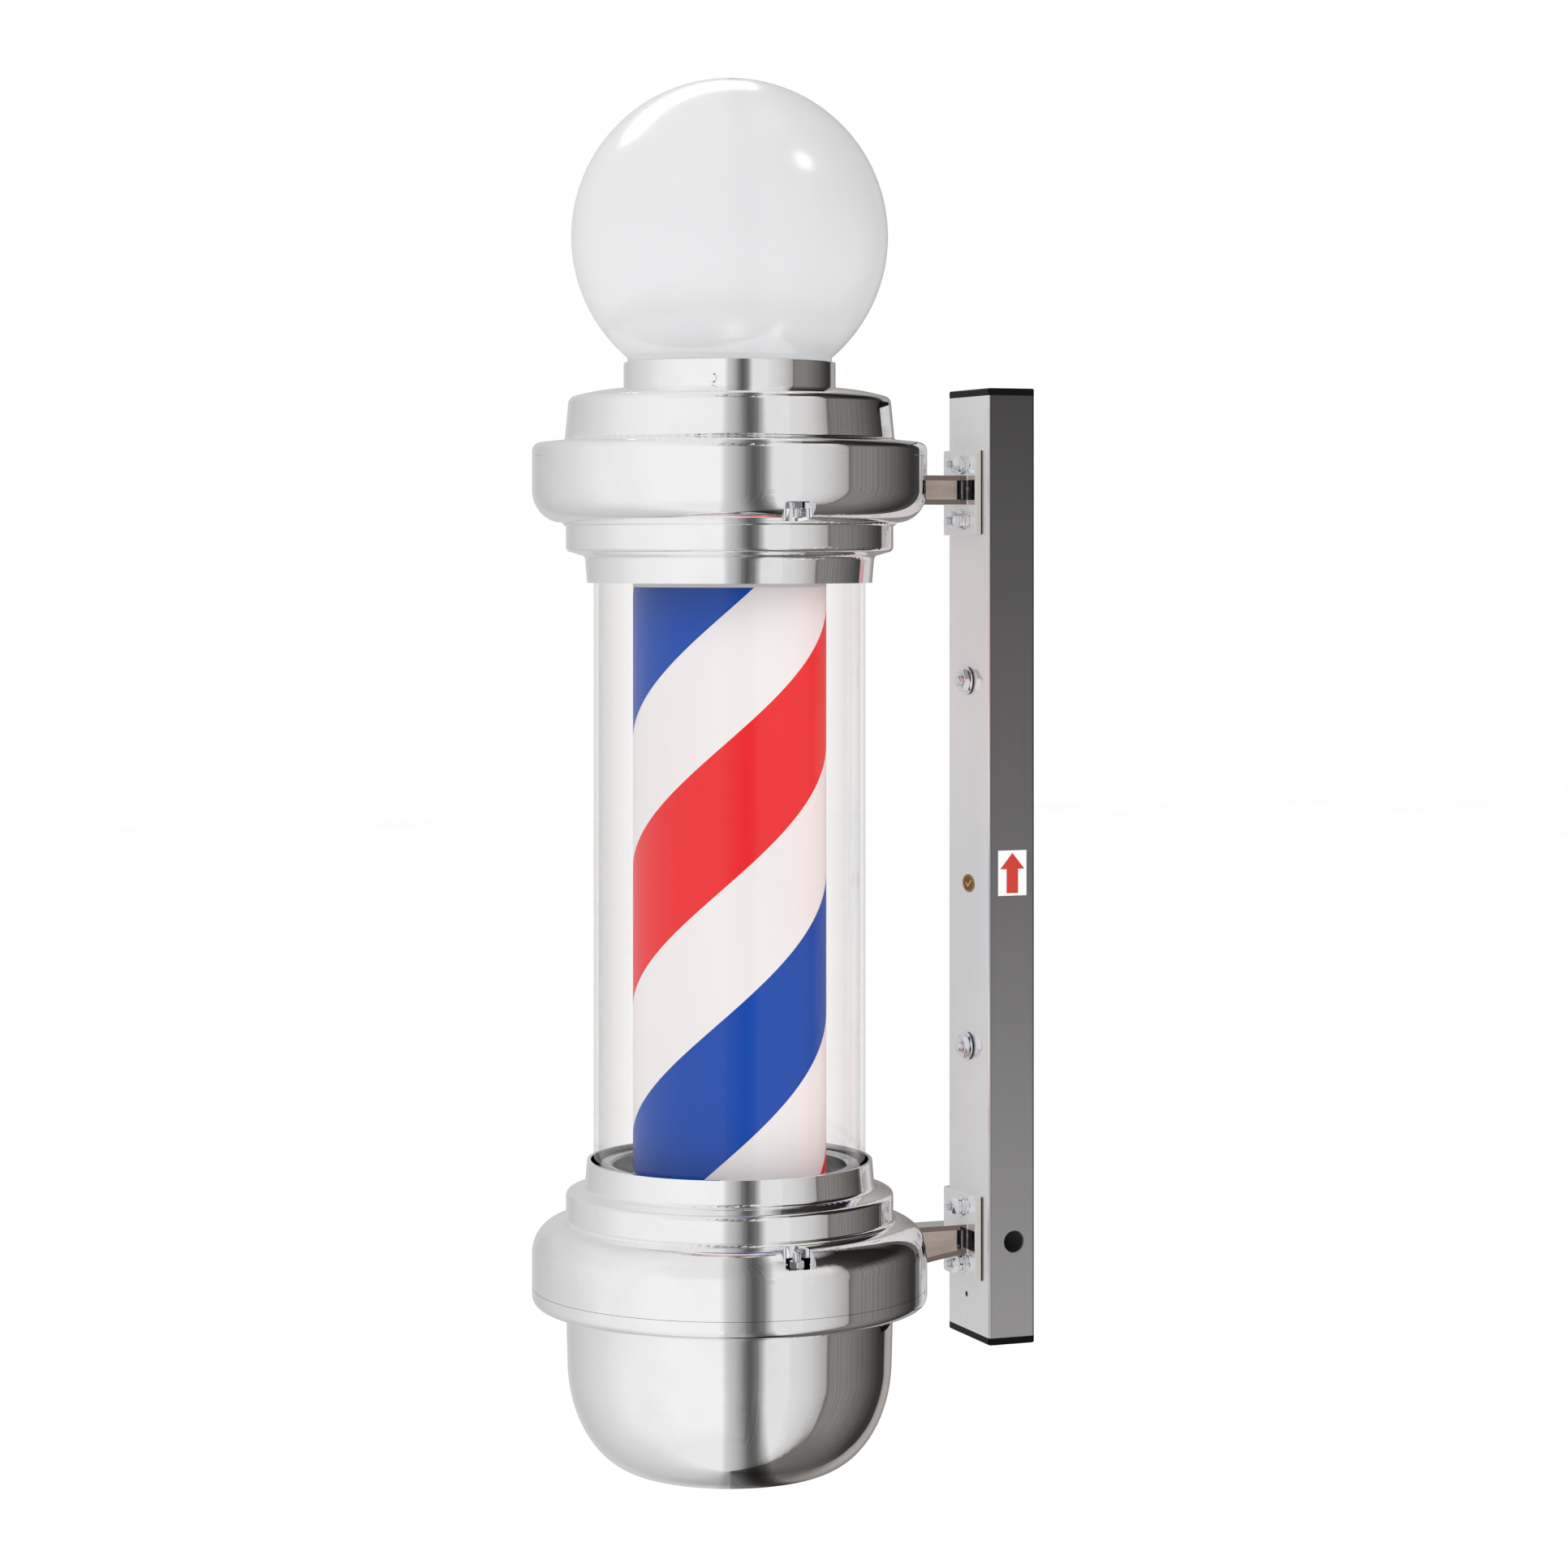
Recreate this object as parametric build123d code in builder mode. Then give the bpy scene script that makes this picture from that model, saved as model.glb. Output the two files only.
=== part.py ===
"""Wall-hung barber pole light: a lit opal globe over a glazed tube in which a striped drum turns.

Frame: +Z up, +X to the right of someone who faces the wall, +Y into the wall. The origin is on the
wall, in the middle of the back face of the wall rail. All lengths are in millimetres.
"""
from build123d import *
from math import cos, radians, sin
import os

os.makedirs("parts", exist_ok=True)

# ---------------------------------------------------------------- driving dimensions
pole_offset = 184.0          # wall to the pole's own axis
running_fit = 0.05           # radial play of a shaft in its bush

rail_width = 60.0
rail_depth = 30.0
rail_length = 562.0
rail_wall = 1.5
rail_corner = 2.0
rail_cap_height = 4.3
rail_plug_length = 14.0
plug_fit = 0.1
cable_hole_diameter = 13.2
cable_hole_y = -13.8
cable_hole_z = -224.2
earth_hole_diameter = 3.5
earth_hole_z = -260.0

anchor_spacing = 220.0
anchor_diameter = 8.0
anchor_hole_diameter = 8.6
anchor_nut_across_flats = 13.0
anchor_nut_height = 3.4
anchor_washer_diameter = 16.5
anchor_washer_height = 1.2
anchor_seal_height = 0.8
anchor_end_length = 2.5

bracket_spacing = 449.4
plate_height = 51.2
plate_width = 46.0
plate_shift = -3.0           # the plates stand a little left of their arms
plate_drop = 1.4             # and a little nearer to the middle of the rail
plate_thickness = 4.8
plate_corner = 1.5
arm_height = 17.4
arm_flare = 7.0              # how far the lower arm drops where it meets the housing
arm_width = 18.0
arm_web_width = 13.0
arm_flange = 3.0
arm_bore = 6.0
bracket_bolt_spacing = 34.2
bracket_bolt_diameter = 6.0
bracket_bolt_clearance = 0.3
bracket_nut_across_flats = 10.0
bracket_nut_height = 5.0
bracket_washer_diameter = 12.5
bracket_washer_height = 1.5
bracket_lock_washer_height = 1.5
bracket_bolt_end = 2.6
rivet_nut_diameter = 9.0
rivet_nut_length = 11.0
arm_screw_diameter = 4.0
arm_screw_reach = 22.0
arm_screw_side = 3.6
arm_screw_rise = 5.6

band_radius = 116.2          # the two housings, mirrored above and below z = 0
band_seam_z = 243.5
band_curve_z = 223.9
band_curve_height = 19.1
tier_radius = 96.3
tier_top_z = 204.8
tier_step_z = 187.4
skirt_top_radius = 85.0
skirt_rim_radius = 83.9
skirt_rim_z = 169.5
skirt_inner_radius = 81.8
tier_blend = 2.0             # rounded foot where the band meets the tier
tier_round = 3.2             # rounded lower edge of the tier
skirt_blend = 3.0            # hollow between the tier and the skirt
skirt_slope = 1.6            # fall of the step between them
shell = 2.3                  # wall of the castings
ledge_z = 189.2              # flat inside each housing that the carrier plate rests on
seam_gap = 0.2

pocket_width = 18.8
pocket_ceiling_z = 216.0
pocket_inner_radius = 100.0
pocket_wall = 2.0
pocket_block_depth = 18.0
stud_circle = 107.0
stud_diameter = 5.0
stud_clearance = 0.25
stud_boss_radius = 5.0
stud_boss_depth = 9.0
stud_end_z = 206.8
stud_nut_across_flats = 8.0
stud_nut_height = 4.0

cap_shoulder_z = 253.2
cap_tier_base_radius = 97.0
cap_tier_top_radius = 95.0
cap_tier_top_z = 275.0
cap_top_z = 283.5
cap_wire_hole = 5.0

bowl_shoulder_z = -256.5
bowl_wall_radius = 96.2
bowl_curve_radius = 95.4     # where the wall starts to round in
bowl_wall_end_z = -287.0
bowl_bottom_z = -351.6
bowl_flat_radius = 50.0

collar_radius = 62.4
collar_height = 15.4
collar_wall = 1.8
globe_radius = 93.2
globe_centre_z = 373.0
globe_wall = 2.5
globe_neck_radius = 60.2
globe_neck_z = 287.0
set_screw_angles = (60.0, 180.0, 300.0)

tube_radius = 80.0
tube_wall = 3.0
tube_end_z = 187.6
gasket_height = 1.4
seat_radius = 76.8
seat_wall = 8.0
seat_height = 17.2
tier_edge_round = 3.0        # width of the rounding under the tier
skirt_drop = 2.8             # the skirt's outer curve starts this far under the step
fastener_clearance = 0.3
seat_lip = 1.2               # chamfer round the open end of each seat
carrier_radius = 93.4
carrier_thickness = 2.0
carrier_screw_circle = 88.0
carrier_screw_count = 4
carrier_screw_diameter = 3.0
carrier_screw_length = 4.6

drum_radius = 56.7
drum_wall = 1.8
drum_top_z = 167.1
drum_bottom_z = -176.0
film_thickness = 0.25
drum_cap_rim = 3.0
drum_cap_spigot = 8.0

stem_radius = 8.0
stem_bore_radius = 5.5
stem_bottom_z = 118.0
stem_top_z = 204.0
stem_nut_across_flats = 24.0
stem_nut_height = 6.0
bush_radius = 12.0
bush_height = 14.0

motor_radius = 30.0
motor_height = 34.0
motor_ear_spacing = 70.0
motor_ear_radius = 6.0
motor_ear_thickness = 2.5
motor_shaft_radius = 3.5
motor_boss_radius = 8.0
motor_boss_height = 3.0
hub_radius = 11.0
hub_screw_circle = 16.0

lamp_radius = 13.0
lamp_length = 215.0
lamp_holder_radius = 16.5
lamp_holder_height = 34.0

bulb_holder_radius = 20.0
bulb_holder_height = 44.0
bulb_radius = 30.0
bulb_centre_z = 374.0

sticker_width = 18.5
sticker_height = 27.0
sticker_z = -4.0
arrow_width = 15.8
arrow_height = 24.0
arrow_head_height = 9.6
arrow_shaft_width = 7.5
seal_width = 18.0
seal_height = 11.0
seal_z = -12.0
label_thickness = 0.2
spigot_play = 0.3            # the cap and the bowl each slip into their ring
cap_rim_height = 3.2
cap_rim_width = 4.8
cap_rim_round = 5.0
cap_shoulder_slope = 1.3
cap_tier_blend = 1.5
cap_edge_width = 3.4
cap_edge_height = 4.0
cap_edge_round = 4.6
cap_crown_radius = 77.5      # the crown dips by cap_crown_drop at this radius
cap_crown_drop = 1.4
bowl_rim_height = 4.6
bowl_rim_width = 5.4
bowl_rim_round = 6.0
bowl_blend = 2.0
collar_foot = 2.0
collar_foot_inner = 46.0
set_screw_rise = 3.9
set_screw_radius = 1.5
set_screw_gap = 0.35
set_screw_head = 2.2
bulb_holder_bore = 14.2
bulb_neck_angle = radians(55)
bulb_neck_radius = 17.0
bulb_base_radius = 13.2
bulb_tip_radius = 6.0
bulb_tip_z = cap_top_z + 12
stem_play = 0.2
motor_screw_radius = 2.0
drum_vent_circle = 35.0
drum_vent_count = 6
drum_vent_length = 14.0
drum_vent_width = 6.0
hub_screw_radius = 1.5
hub_screw_head_radius = 2.8
hub_screw_head = 1.8
hub_flange = 2.5
hub_barrel = 9.0
shaft_seat = 8.0             # length of shaft inside the motor
arm_screw_head_radius = 3.4
arm_screw_head = 3.0

# ---------------------------------------------------------------- shared places
pole_plane = Plane.XZ.offset(pole_offset)        # local x is the radius, local y is the height
pole_axis = Axis((0, -pole_offset, 0), (0, 0, 1))
rail_front_y = -rail_depth
plate_front_y = rail_front_y - plate_thickness
bracket_heights = (bracket_spacing / 2, -bracket_spacing / 2)
anchor_heights = (anchor_spacing / 2, -anchor_spacing / 2)
arm_overlap = 8.0                                # arms run into the housing and are trimmed back there
arm_end_y = -pole_offset + band_radius - arm_overlap
plate_heights = [z - plate_drop if z > 0 else z + plate_drop for z in bracket_heights]
bolt_heights = [z + s * bracket_bolt_spacing / 2 for z in plate_heights for s in (1, -1)]


def level(z):
    """Horizontal plane at height z, centred on the pole's axis."""
    return Plane((0, -pole_offset, z), x_dir=(1, 0, 0), z_dir=(0, 0, 1))


def wall_plane(y):
    """Vertical plane parallel to the wall that looks out at the room; local x is X, local y is Z."""
    return Plane((0, y, 0), x_dir=(1, 0, 0), z_dir=(0, -1, 0))


def ring(outer, inner, bottom, top, mode=Mode.ADD):
    """Plain ring, or disc where inner is 0, about the pole's axis."""
    with BuildSketch(level(bottom)) as disc:
        Circle(outer)
        if inner > 0:
            Circle(inner, mode=Mode.SUBTRACT)
    extrude(disc.sketch, amount=top - bottom, mode=mode)


def arm_screw_places(height):
    """Where the two screws of an arm stand, either side of its lead bore; local x and height."""
    rise = arm_screw_rise if height > 0 else -arm_screw_rise
    return [(arm_screw_side, height + rise), (-arm_screw_side, height - rise)]


def save(piece, name):
    """Label a finished piece and write its STEP file."""
    piece.part.label = name
    export_step(piece.part, f"parts/{name}.step")


# ---------------------------------------------------------------- housings
def band_outer_line():
    """Outside of a housing ring, from its seam down to the rim that surrounds the tube."""
    curve_base = tier_radius + tier_blend
    step_inner = skirt_top_radius + skirt_blend
    skirt_top_z = tier_step_z - skirt_slope - skirt_drop
    Line((band_radius, band_seam_z), (band_radius, band_curve_z))
    EllipticalCenterArc((curve_base, band_curve_z), band_radius - curve_base, band_curve_height,
                        start_angle=270, arc_size=90)
    RadiusArc((curve_base, tier_top_z), (tier_radius, tier_top_z - tier_blend), tier_blend)
    Line((tier_radius, tier_top_z - tier_blend), (tier_radius, tier_step_z + tier_round))
    RadiusArc((tier_radius, tier_step_z + tier_round), (tier_radius - tier_edge_round, tier_step_z),
              tier_round)
    Line((tier_radius - tier_edge_round, tier_step_z), (step_inner, tier_step_z - skirt_slope))
    RadiusArc((step_inner, tier_step_z - skirt_slope), (skirt_top_radius, skirt_top_z), -skirt_blend)
    Line((skirt_top_radius, skirt_top_z), (skirt_rim_radius, skirt_rim_z))


def band_inner_line():
    """Inside of a housing ring: tube well, ledge, tier and band."""
    inner_base = tier_radius + tier_blend
    Polyline((skirt_rim_radius, skirt_rim_z), (skirt_inner_radius, skirt_rim_z),
             (skirt_inner_radius, ledge_z), (tier_radius - shell, ledge_z),
             (tier_radius - shell, band_curve_z - band_curve_height + shell),
             (inner_base, band_curve_z - band_curve_height + shell))
    EllipticalCenterArc((inner_base, band_curve_z), band_radius - shell - inner_base,
                        band_curve_height - shell, start_angle=270, arc_size=90)
    Polyline((band_radius - shell, band_curve_z), (band_radius - shell, band_seam_z),
             (band_radius, band_seam_z))


with BuildPart() as band_solid:
    # the housing as if it were solid, to trim what meets its outside
    with BuildSketch(pole_plane):
        with BuildLine():
            band_outer_line()
            Polyline((skirt_rim_radius, skirt_rim_z), (0, skirt_rim_z), (0, band_seam_z),
                     (band_radius, band_seam_z))
        make_face()
    revolve(axis=pole_axis)

with BuildPart() as pocket_blocks:
    # blocks in the shoulder that carry the two stud pockets, left and right of the pole
    with BuildSketch(level(tier_top_z + shell)):
        with PolarLocations(stud_circle - 2.0, 2):
            Rectangle(pocket_block_depth, pocket_width + 2 * pocket_wall)
    extrude(amount=pocket_ceiling_z + pocket_wall - tier_top_z - shell)
    add(band_solid.part, mode=Mode.INTERSECT)

with BuildPart() as upper_band:
    with BuildSketch(pole_plane):
        with BuildLine():
            band_outer_line()
            band_inner_line()
        make_face()
    revolve(axis=pole_axis)
    add(pocket_blocks.part)
    # the pockets themselves, open below and to the outside, with a rounded back
    with BuildSketch(level(skirt_rim_z)):
        with PolarLocations(pocket_inner_radius + pocket_width / 2, 2):
            Circle(pocket_width / 2)
        with PolarLocations(band_radius, 2):
            Rectangle(2 * (band_radius - pocket_inner_radius) - pocket_width, pocket_width)
    extrude(amount=pocket_ceiling_z - skirt_rim_z, mode=Mode.SUBTRACT)
    # stud clearance holes in the pocket ceilings
    with BuildSketch(level(pocket_ceiling_z - 1)):
        with PolarLocations(stud_circle, 2):
            Circle(stud_diameter / 2 + stud_clearance)
    extrude(amount=pocket_wall + 2, mode=Mode.SUBTRACT)
    # screw holes for the carrier plate in the ledge
    with BuildSketch(level(ledge_z)):
        with PolarLocations(carrier_screw_circle, carrier_screw_count, start_angle=45):
            Circle(carrier_screw_diameter / 2)
    extrude(amount=-(carrier_screw_length - carrier_thickness), mode=Mode.SUBTRACT)
    # holes in the wall side for the two bracket screws and the lead
    with BuildSketch(wall_plane(arm_end_y)):
        with Locations((0, bracket_heights[0])):
            Circle(arm_bore / 2)
        with Locations(*arm_screw_places(bracket_heights[0])):
            Circle(arm_screw_diameter / 2)
    extrude(amount=-1.5 * arm_overlap, mode=Mode.SUBTRACT)

with BuildPart() as lower_band:
    mirror(upper_band.part, about=Plane.XY)

cap_joint_z = band_seam_z + seam_gap
spigot_radius = band_radius - shell - spigot_play         # the cap and the bowl each slip into their ring
spigot_depth = 5.0
spigot_wall = 2.0

# points of the cap's outline, as (radius, height)
cap_rim = (band_radius, cap_joint_z + cap_rim_height)
cap_shoulder = (band_radius - cap_rim_width, cap_shoulder_z - cap_shoulder_slope)
cap_tier_foot = (cap_tier_base_radius + cap_tier_blend, cap_shoulder_z)
cap_tier_start = (cap_tier_base_radius, cap_shoulder_z + cap_tier_blend)
cap_tier_end = (cap_tier_top_radius, cap_tier_top_z)
cap_edge = (cap_tier_top_radius - cap_edge_width, cap_tier_top_z + cap_edge_height)

with BuildPart() as top_cap:
    with BuildSketch(pole_plane):
        with BuildLine():
            Line((band_radius, cap_joint_z), cap_rim)
            RadiusArc(cap_rim, cap_shoulder, -cap_rim_round)
            Line(cap_shoulder, cap_tier_foot)
            RadiusArc(cap_tier_foot, cap_tier_start, cap_tier_blend)
            Line(cap_tier_start, cap_tier_end)
            RadiusArc(cap_tier_end, cap_edge, -cap_edge_round)
            ThreePointArc(cap_edge, (cap_crown_radius, cap_top_z - cap_crown_drop),
                          (collar_radius + 1, cap_top_z))
            Polyline((collar_radius + 1, cap_top_z), (cap_wire_hole, cap_top_z),
                     (cap_wire_hole, cap_top_z - shell), (collar_radius, cap_top_z - shell),
                     (cap_tier_top_radius - shell - cap_edge_width, cap_tier_top_z + cap_tier_blend),
                     (cap_tier_top_radius - shell, cap_tier_top_z - 1),
                     (cap_tier_base_radius - shell, cap_shoulder_z - shell),
                     (spigot_radius - spigot_wall, cap_shoulder_z - shell - cap_shoulder_slope),
                     (spigot_radius - spigot_wall, cap_joint_z - spigot_depth),
                     (spigot_radius, cap_joint_z - spigot_depth), (spigot_radius, cap_joint_z),
                     (band_radius, cap_joint_z))
        make_face()
    revolve(axis=pole_axis)
    # bosses that the housing studs screw into
    with BuildSketch(level(cap_joint_z - spigot_depth)):
        with PolarLocations(stud_circle, 2):
            Circle(stud_boss_radius)
    extrude(amount=cap_shoulder_z - cap_joint_z + spigot_depth - 2)
    with BuildSketch(level(cap_joint_z - spigot_depth)):
        with PolarLocations(stud_circle, 2):
            Circle(stud_diameter / 2)
    extrude(amount=stud_boss_depth, mode=Mode.SUBTRACT)

bowl_joint_z = -cap_joint_z

# points of the bowl's outline, as (radius, height)
bowl_rim = (band_radius, bowl_joint_z - bowl_rim_height)
bowl_shoulder = (band_radius - bowl_rim_width, bowl_shoulder_z + bowl_blend)
bowl_wall_foot = (bowl_wall_radius + bowl_blend, bowl_shoulder_z)
bowl_wall_start = (bowl_wall_radius, bowl_shoulder_z - bowl_blend)

with BuildPart() as bowl:
    with BuildSketch(pole_plane):
        with BuildLine():
            Line((band_radius, bowl_joint_z), bowl_rim)
            RadiusArc(bowl_rim, bowl_shoulder, bowl_rim_round)
            Line(bowl_shoulder, bowl_wall_foot)
            RadiusArc(bowl_wall_foot, bowl_wall_start, -bowl_blend)
            Line(bowl_wall_start, (bowl_curve_radius, bowl_wall_end_z))
            EllipticalCenterArc((bowl_flat_radius, bowl_wall_end_z), bowl_curve_radius - bowl_flat_radius,
                                bowl_wall_end_z - bowl_bottom_z, start_angle=270, arc_size=90)
            Polyline((bowl_flat_radius, bowl_bottom_z), (0, bowl_bottom_z), (0, bowl_bottom_z + shell),
                     (bowl_flat_radius, bowl_bottom_z + shell))
            EllipticalCenterArc((bowl_flat_radius, bowl_wall_end_z),
                                bowl_curve_radius - bowl_flat_radius - shell,
                                bowl_wall_end_z - bowl_bottom_z - shell, start_angle=270, arc_size=90)
            Polyline((bowl_curve_radius - shell, bowl_wall_end_z),
                     (bowl_wall_radius - shell, bowl_shoulder_z + shell),
                     (spigot_radius - spigot_wall, bowl_shoulder_z + shell + bowl_blend),
                     (spigot_radius - spigot_wall, bowl_joint_z + spigot_depth),
                     (spigot_radius, bowl_joint_z + spigot_depth), (spigot_radius, bowl_joint_z),
                     (band_radius, bowl_joint_z))
        make_face()
    revolve(axis=pole_axis)
    with BuildSketch(level(bowl_joint_z + spigot_depth)):
        with PolarLocations(stud_circle, 2):
            Circle(stud_boss_radius)
    extrude(amount=bowl_shoulder_z - bowl_joint_z - spigot_depth + 2)
    with BuildSketch(level(bowl_joint_z + spigot_depth)):
        with PolarLocations(stud_circle, 2):
            Circle(stud_diameter / 2)
    extrude(amount=-stud_boss_depth, mode=Mode.SUBTRACT)

save(upper_band, "upper_band")
save(lower_band, "lower_band")
save(top_cap, "top_cap")
save(bowl, "bowl")

with BuildPart() as housing_studs:
    with BuildSketch(level(stud_end_z)):
        with PolarLocations(stud_circle, 2):
            Circle(stud_diameter / 2)
    extrude(amount=cap_joint_z - spigot_depth + stud_boss_depth - 1 - stud_end_z)
    mirror(about=Plane.XY)
save(housing_studs, "housing_studs")

with BuildPart() as housing_nuts:
    with BuildSketch(level(pocket_ceiling_z)):
        with PolarLocations(stud_circle, 2):
            RegularPolygon(stud_nut_across_flats / 2, 6, major_radius=False)
            Circle(stud_diameter / 2, mode=Mode.SUBTRACT)
    extrude(amount=-stud_nut_height)
    mirror(about=Plane.XY)
save(housing_nuts, "housing_nuts")

# ---------------------------------------------------------------- globe and its lamp
with BuildPart() as neck_collar:
    ring(collar_radius, collar_radius - collar_wall, cap_top_z, cap_top_z + collar_height)
    ring(collar_radius, collar_foot_inner, cap_top_z, cap_top_z + collar_foot)
    fillet(neck_collar.edges().filter_by(GeomType.CIRCLE).group_by(Axis.Z)[-1], 0.7)
    # tapped holes for the set screws that hold the globe's neck
    for angle in set_screw_angles:
        outward = (sin(radians(angle)), -cos(radians(angle)), 0)
        with BuildSketch(Plane((0, -pole_offset, cap_top_z + set_screw_rise), z_dir=outward)):
            Circle(set_screw_radius)
        extrude(amount=collar_radius + 1, mode=Mode.SUBTRACT)
save(neck_collar, "neck_collar")

with BuildPart() as globe_set_screws:
    for angle in set_screw_angles:
        outward = (sin(radians(angle)), -cos(radians(angle)), 0)
        screw_plane = Plane((0, -pole_offset, cap_top_z + set_screw_rise), z_dir=outward)
        with BuildSketch(screw_plane.offset(globe_neck_radius + set_screw_gap)):
            Circle(set_screw_radius)
        extrude(amount=collar_radius - globe_neck_radius - set_screw_gap)
        with BuildSketch(screw_plane.offset(collar_radius)):
            Circle(2 * set_screw_radius)
        extrude(amount=set_screw_head, taper=18)
save(globe_set_screws, "globe_set_screws")

with BuildPart() as globe:
    neck_join = (globe_radius**2 - globe_neck_radius**2) ** 0.5
    inner_radius = globe_radius - globe_wall
    inner_neck = globe_neck_radius - globe_wall
    inner_join = (inner_radius**2 - inner_neck**2) ** 0.5
    with BuildSketch(pole_plane):
        with BuildLine():
            ThreePointArc((0, globe_centre_z + globe_radius), (globe_radius, globe_centre_z),
                          (globe_neck_radius, globe_centre_z - neck_join))
            Polyline((globe_neck_radius, globe_centre_z - neck_join), (globe_neck_radius, globe_neck_z),
                     (inner_neck, globe_neck_z), (inner_neck, globe_centre_z - inner_join))
            ThreePointArc((inner_neck, globe_centre_z - inner_join), (inner_radius, globe_centre_z),
                          (0, globe_centre_z + inner_radius))
            Line((0, globe_centre_z + inner_radius), (0, globe_centre_z + globe_radius))
        make_face()
    revolve(axis=pole_axis)
save(globe, "globe")

with BuildPart() as bulb_holder:
    ring(bulb_holder_radius + 9, cap_wire_hole, cap_top_z, cap_top_z + 3)
    ring(bulb_holder_radius - 2, bulb_holder_bore, cap_top_z + 3, cap_top_z + bulb_holder_height)
    holder_top_z = cap_top_z + bulb_holder_height
    ring(bulb_holder_radius, bulb_holder_bore, holder_top_z - 12, holder_top_z)
save(bulb_holder, "bulb_holder")

bulb_neck = (bulb_radius * sin(bulb_neck_angle), bulb_centre_z - bulb_radius * cos(bulb_neck_angle))

with BuildPart() as globe_bulb:
    with BuildSketch(pole_plane):
        with BuildLine():
            ThreePointArc((0, bulb_centre_z + bulb_radius), (bulb_radius, bulb_centre_z), bulb_neck)
            Polyline(bulb_neck, (bulb_neck_radius, cap_top_z + bulb_holder_height + 3),
                     (bulb_base_radius, cap_top_z + bulb_holder_height - 1),
                     (bulb_base_radius, cap_top_z + 18), (bulb_tip_radius, bulb_tip_z), (0, bulb_tip_z),
                     (0, bulb_centre_z + bulb_radius))
        make_face()
    revolve(axis=pole_axis)
save(globe_bulb, "globe_bulb")

# ---------------------------------------------------------------- glazing and its seats
with BuildPart() as outer_tube:
    ring(tube_radius, tube_radius - tube_wall, -tube_end_z, tube_end_z)
save(outer_tube, "outer_tube")

with BuildPart() as tube_gaskets:
    ring(tube_radius + 0.8, tube_radius - tube_wall, tube_end_z, tube_end_z + gasket_height)
    mirror(about=Plane.XY)
save(tube_gaskets, "tube_gaskets")

with BuildPart() as tube_seats:
    seat_top = tube_end_z + gasket_height
    ring(seat_radius, seat_radius - seat_wall, seat_top - seat_height, seat_top)
    chamfer(tube_seats.edges().filter_by(GeomType.CIRCLE).group_by(Axis.Z)[0], seat_lip)
    mirror(about=Plane.XY)
save(tube_seats, "tube_seats")

with BuildPart() as upper_carrier:
    ring(carrier_radius, stem_radius + stem_play, ledge_z, ledge_z + carrier_thickness)
    with BuildSketch(level(ledge_z)):
        with PolarLocations(carrier_screw_circle, carrier_screw_count, start_angle=45):
            Circle(carrier_screw_diameter / 2)
    extrude(amount=carrier_thickness, mode=Mode.SUBTRACT)
save(upper_carrier, "upper_carrier")

with BuildPart() as motor_plate:
    ring(carrier_radius, motor_boss_radius + fastener_clearance, -ledge_z - carrier_thickness, -ledge_z)
    with BuildSketch(level(-ledge_z)):
        with PolarLocations(carrier_screw_circle, carrier_screw_count, start_angle=45):
            Circle(carrier_screw_diameter / 2)
        with GridLocations(motor_ear_spacing, 0, 2, 1):
            Circle(motor_screw_radius)
    extrude(amount=-carrier_thickness, mode=Mode.SUBTRACT)
save(motor_plate, "motor_plate")

with BuildPart() as carrier_screws:
    with BuildSketch(level(ledge_z + carrier_thickness)):
        with PolarLocations(carrier_screw_circle, carrier_screw_count, start_angle=45):
            Circle(carrier_screw_diameter / 2)
    extrude(amount=-carrier_screw_length)
    with BuildSketch(level(ledge_z + carrier_thickness)):
        with PolarLocations(carrier_screw_circle, carrier_screw_count, start_angle=45):
            Circle(carrier_screw_diameter - 0.2)
    extrude(amount=2.0, taper=12)
    mirror(about=Plane.XY)
save(carrier_screws, "carrier_screws")

# ---------------------------------------------------------------- turning drum
with BuildPart() as drum_tube:
    ring(drum_radius, drum_radius - drum_wall, drum_bottom_z, drum_top_z)
save(drum_tube, "drum_tube")

with BuildPart() as stripe_film:
    ring(drum_radius + film_thickness, drum_radius, drum_bottom_z, drum_top_z)
save(stripe_film, "stripe_film")

with BuildPart() as drum_top_cap:
    ring(drum_radius + film_thickness, bush_radius, drum_top_z, drum_top_z + drum_cap_rim)
    ring(drum_radius - drum_wall, drum_radius - drum_wall - 3, drum_top_z - drum_cap_spigot, drum_top_z)
    ring(bush_radius + 4, bush_radius, drum_top_z - bush_height + drum_cap_rim, drum_top_z)
    # vent slots that let the lamp's heat out of the drum
    with BuildSketch(level(drum_top_z)):
        with PolarLocations(drum_vent_circle, drum_vent_count):
            SlotCenterToCenter(drum_vent_length, drum_vent_width)
    extrude(amount=drum_cap_rim, mode=Mode.SUBTRACT)
save(drum_top_cap, "drum_top_cap")

with BuildPart() as drum_bush:
    ring(bush_radius, stem_radius + running_fit, drum_top_z - bush_height + drum_cap_rim,
         drum_top_z + drum_cap_rim)
save(drum_bush, "drum_bush")

with BuildPart() as drum_bottom_cap:
    ring(drum_radius + film_thickness, motor_shaft_radius + 0.6, drum_bottom_z - drum_cap_rim, drum_bottom_z)
    ring(drum_radius - drum_wall, drum_radius - drum_wall - 3, drum_bottom_z, drum_bottom_z + drum_cap_spigot)
    with BuildSketch(level(drum_bottom_z)):
        with PolarLocations(hub_screw_circle, 3):
            Circle(hub_screw_radius)
    extrude(amount=-drum_cap_rim, mode=Mode.SUBTRACT)
save(drum_bottom_cap, "drum_bottom_cap")

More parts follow.
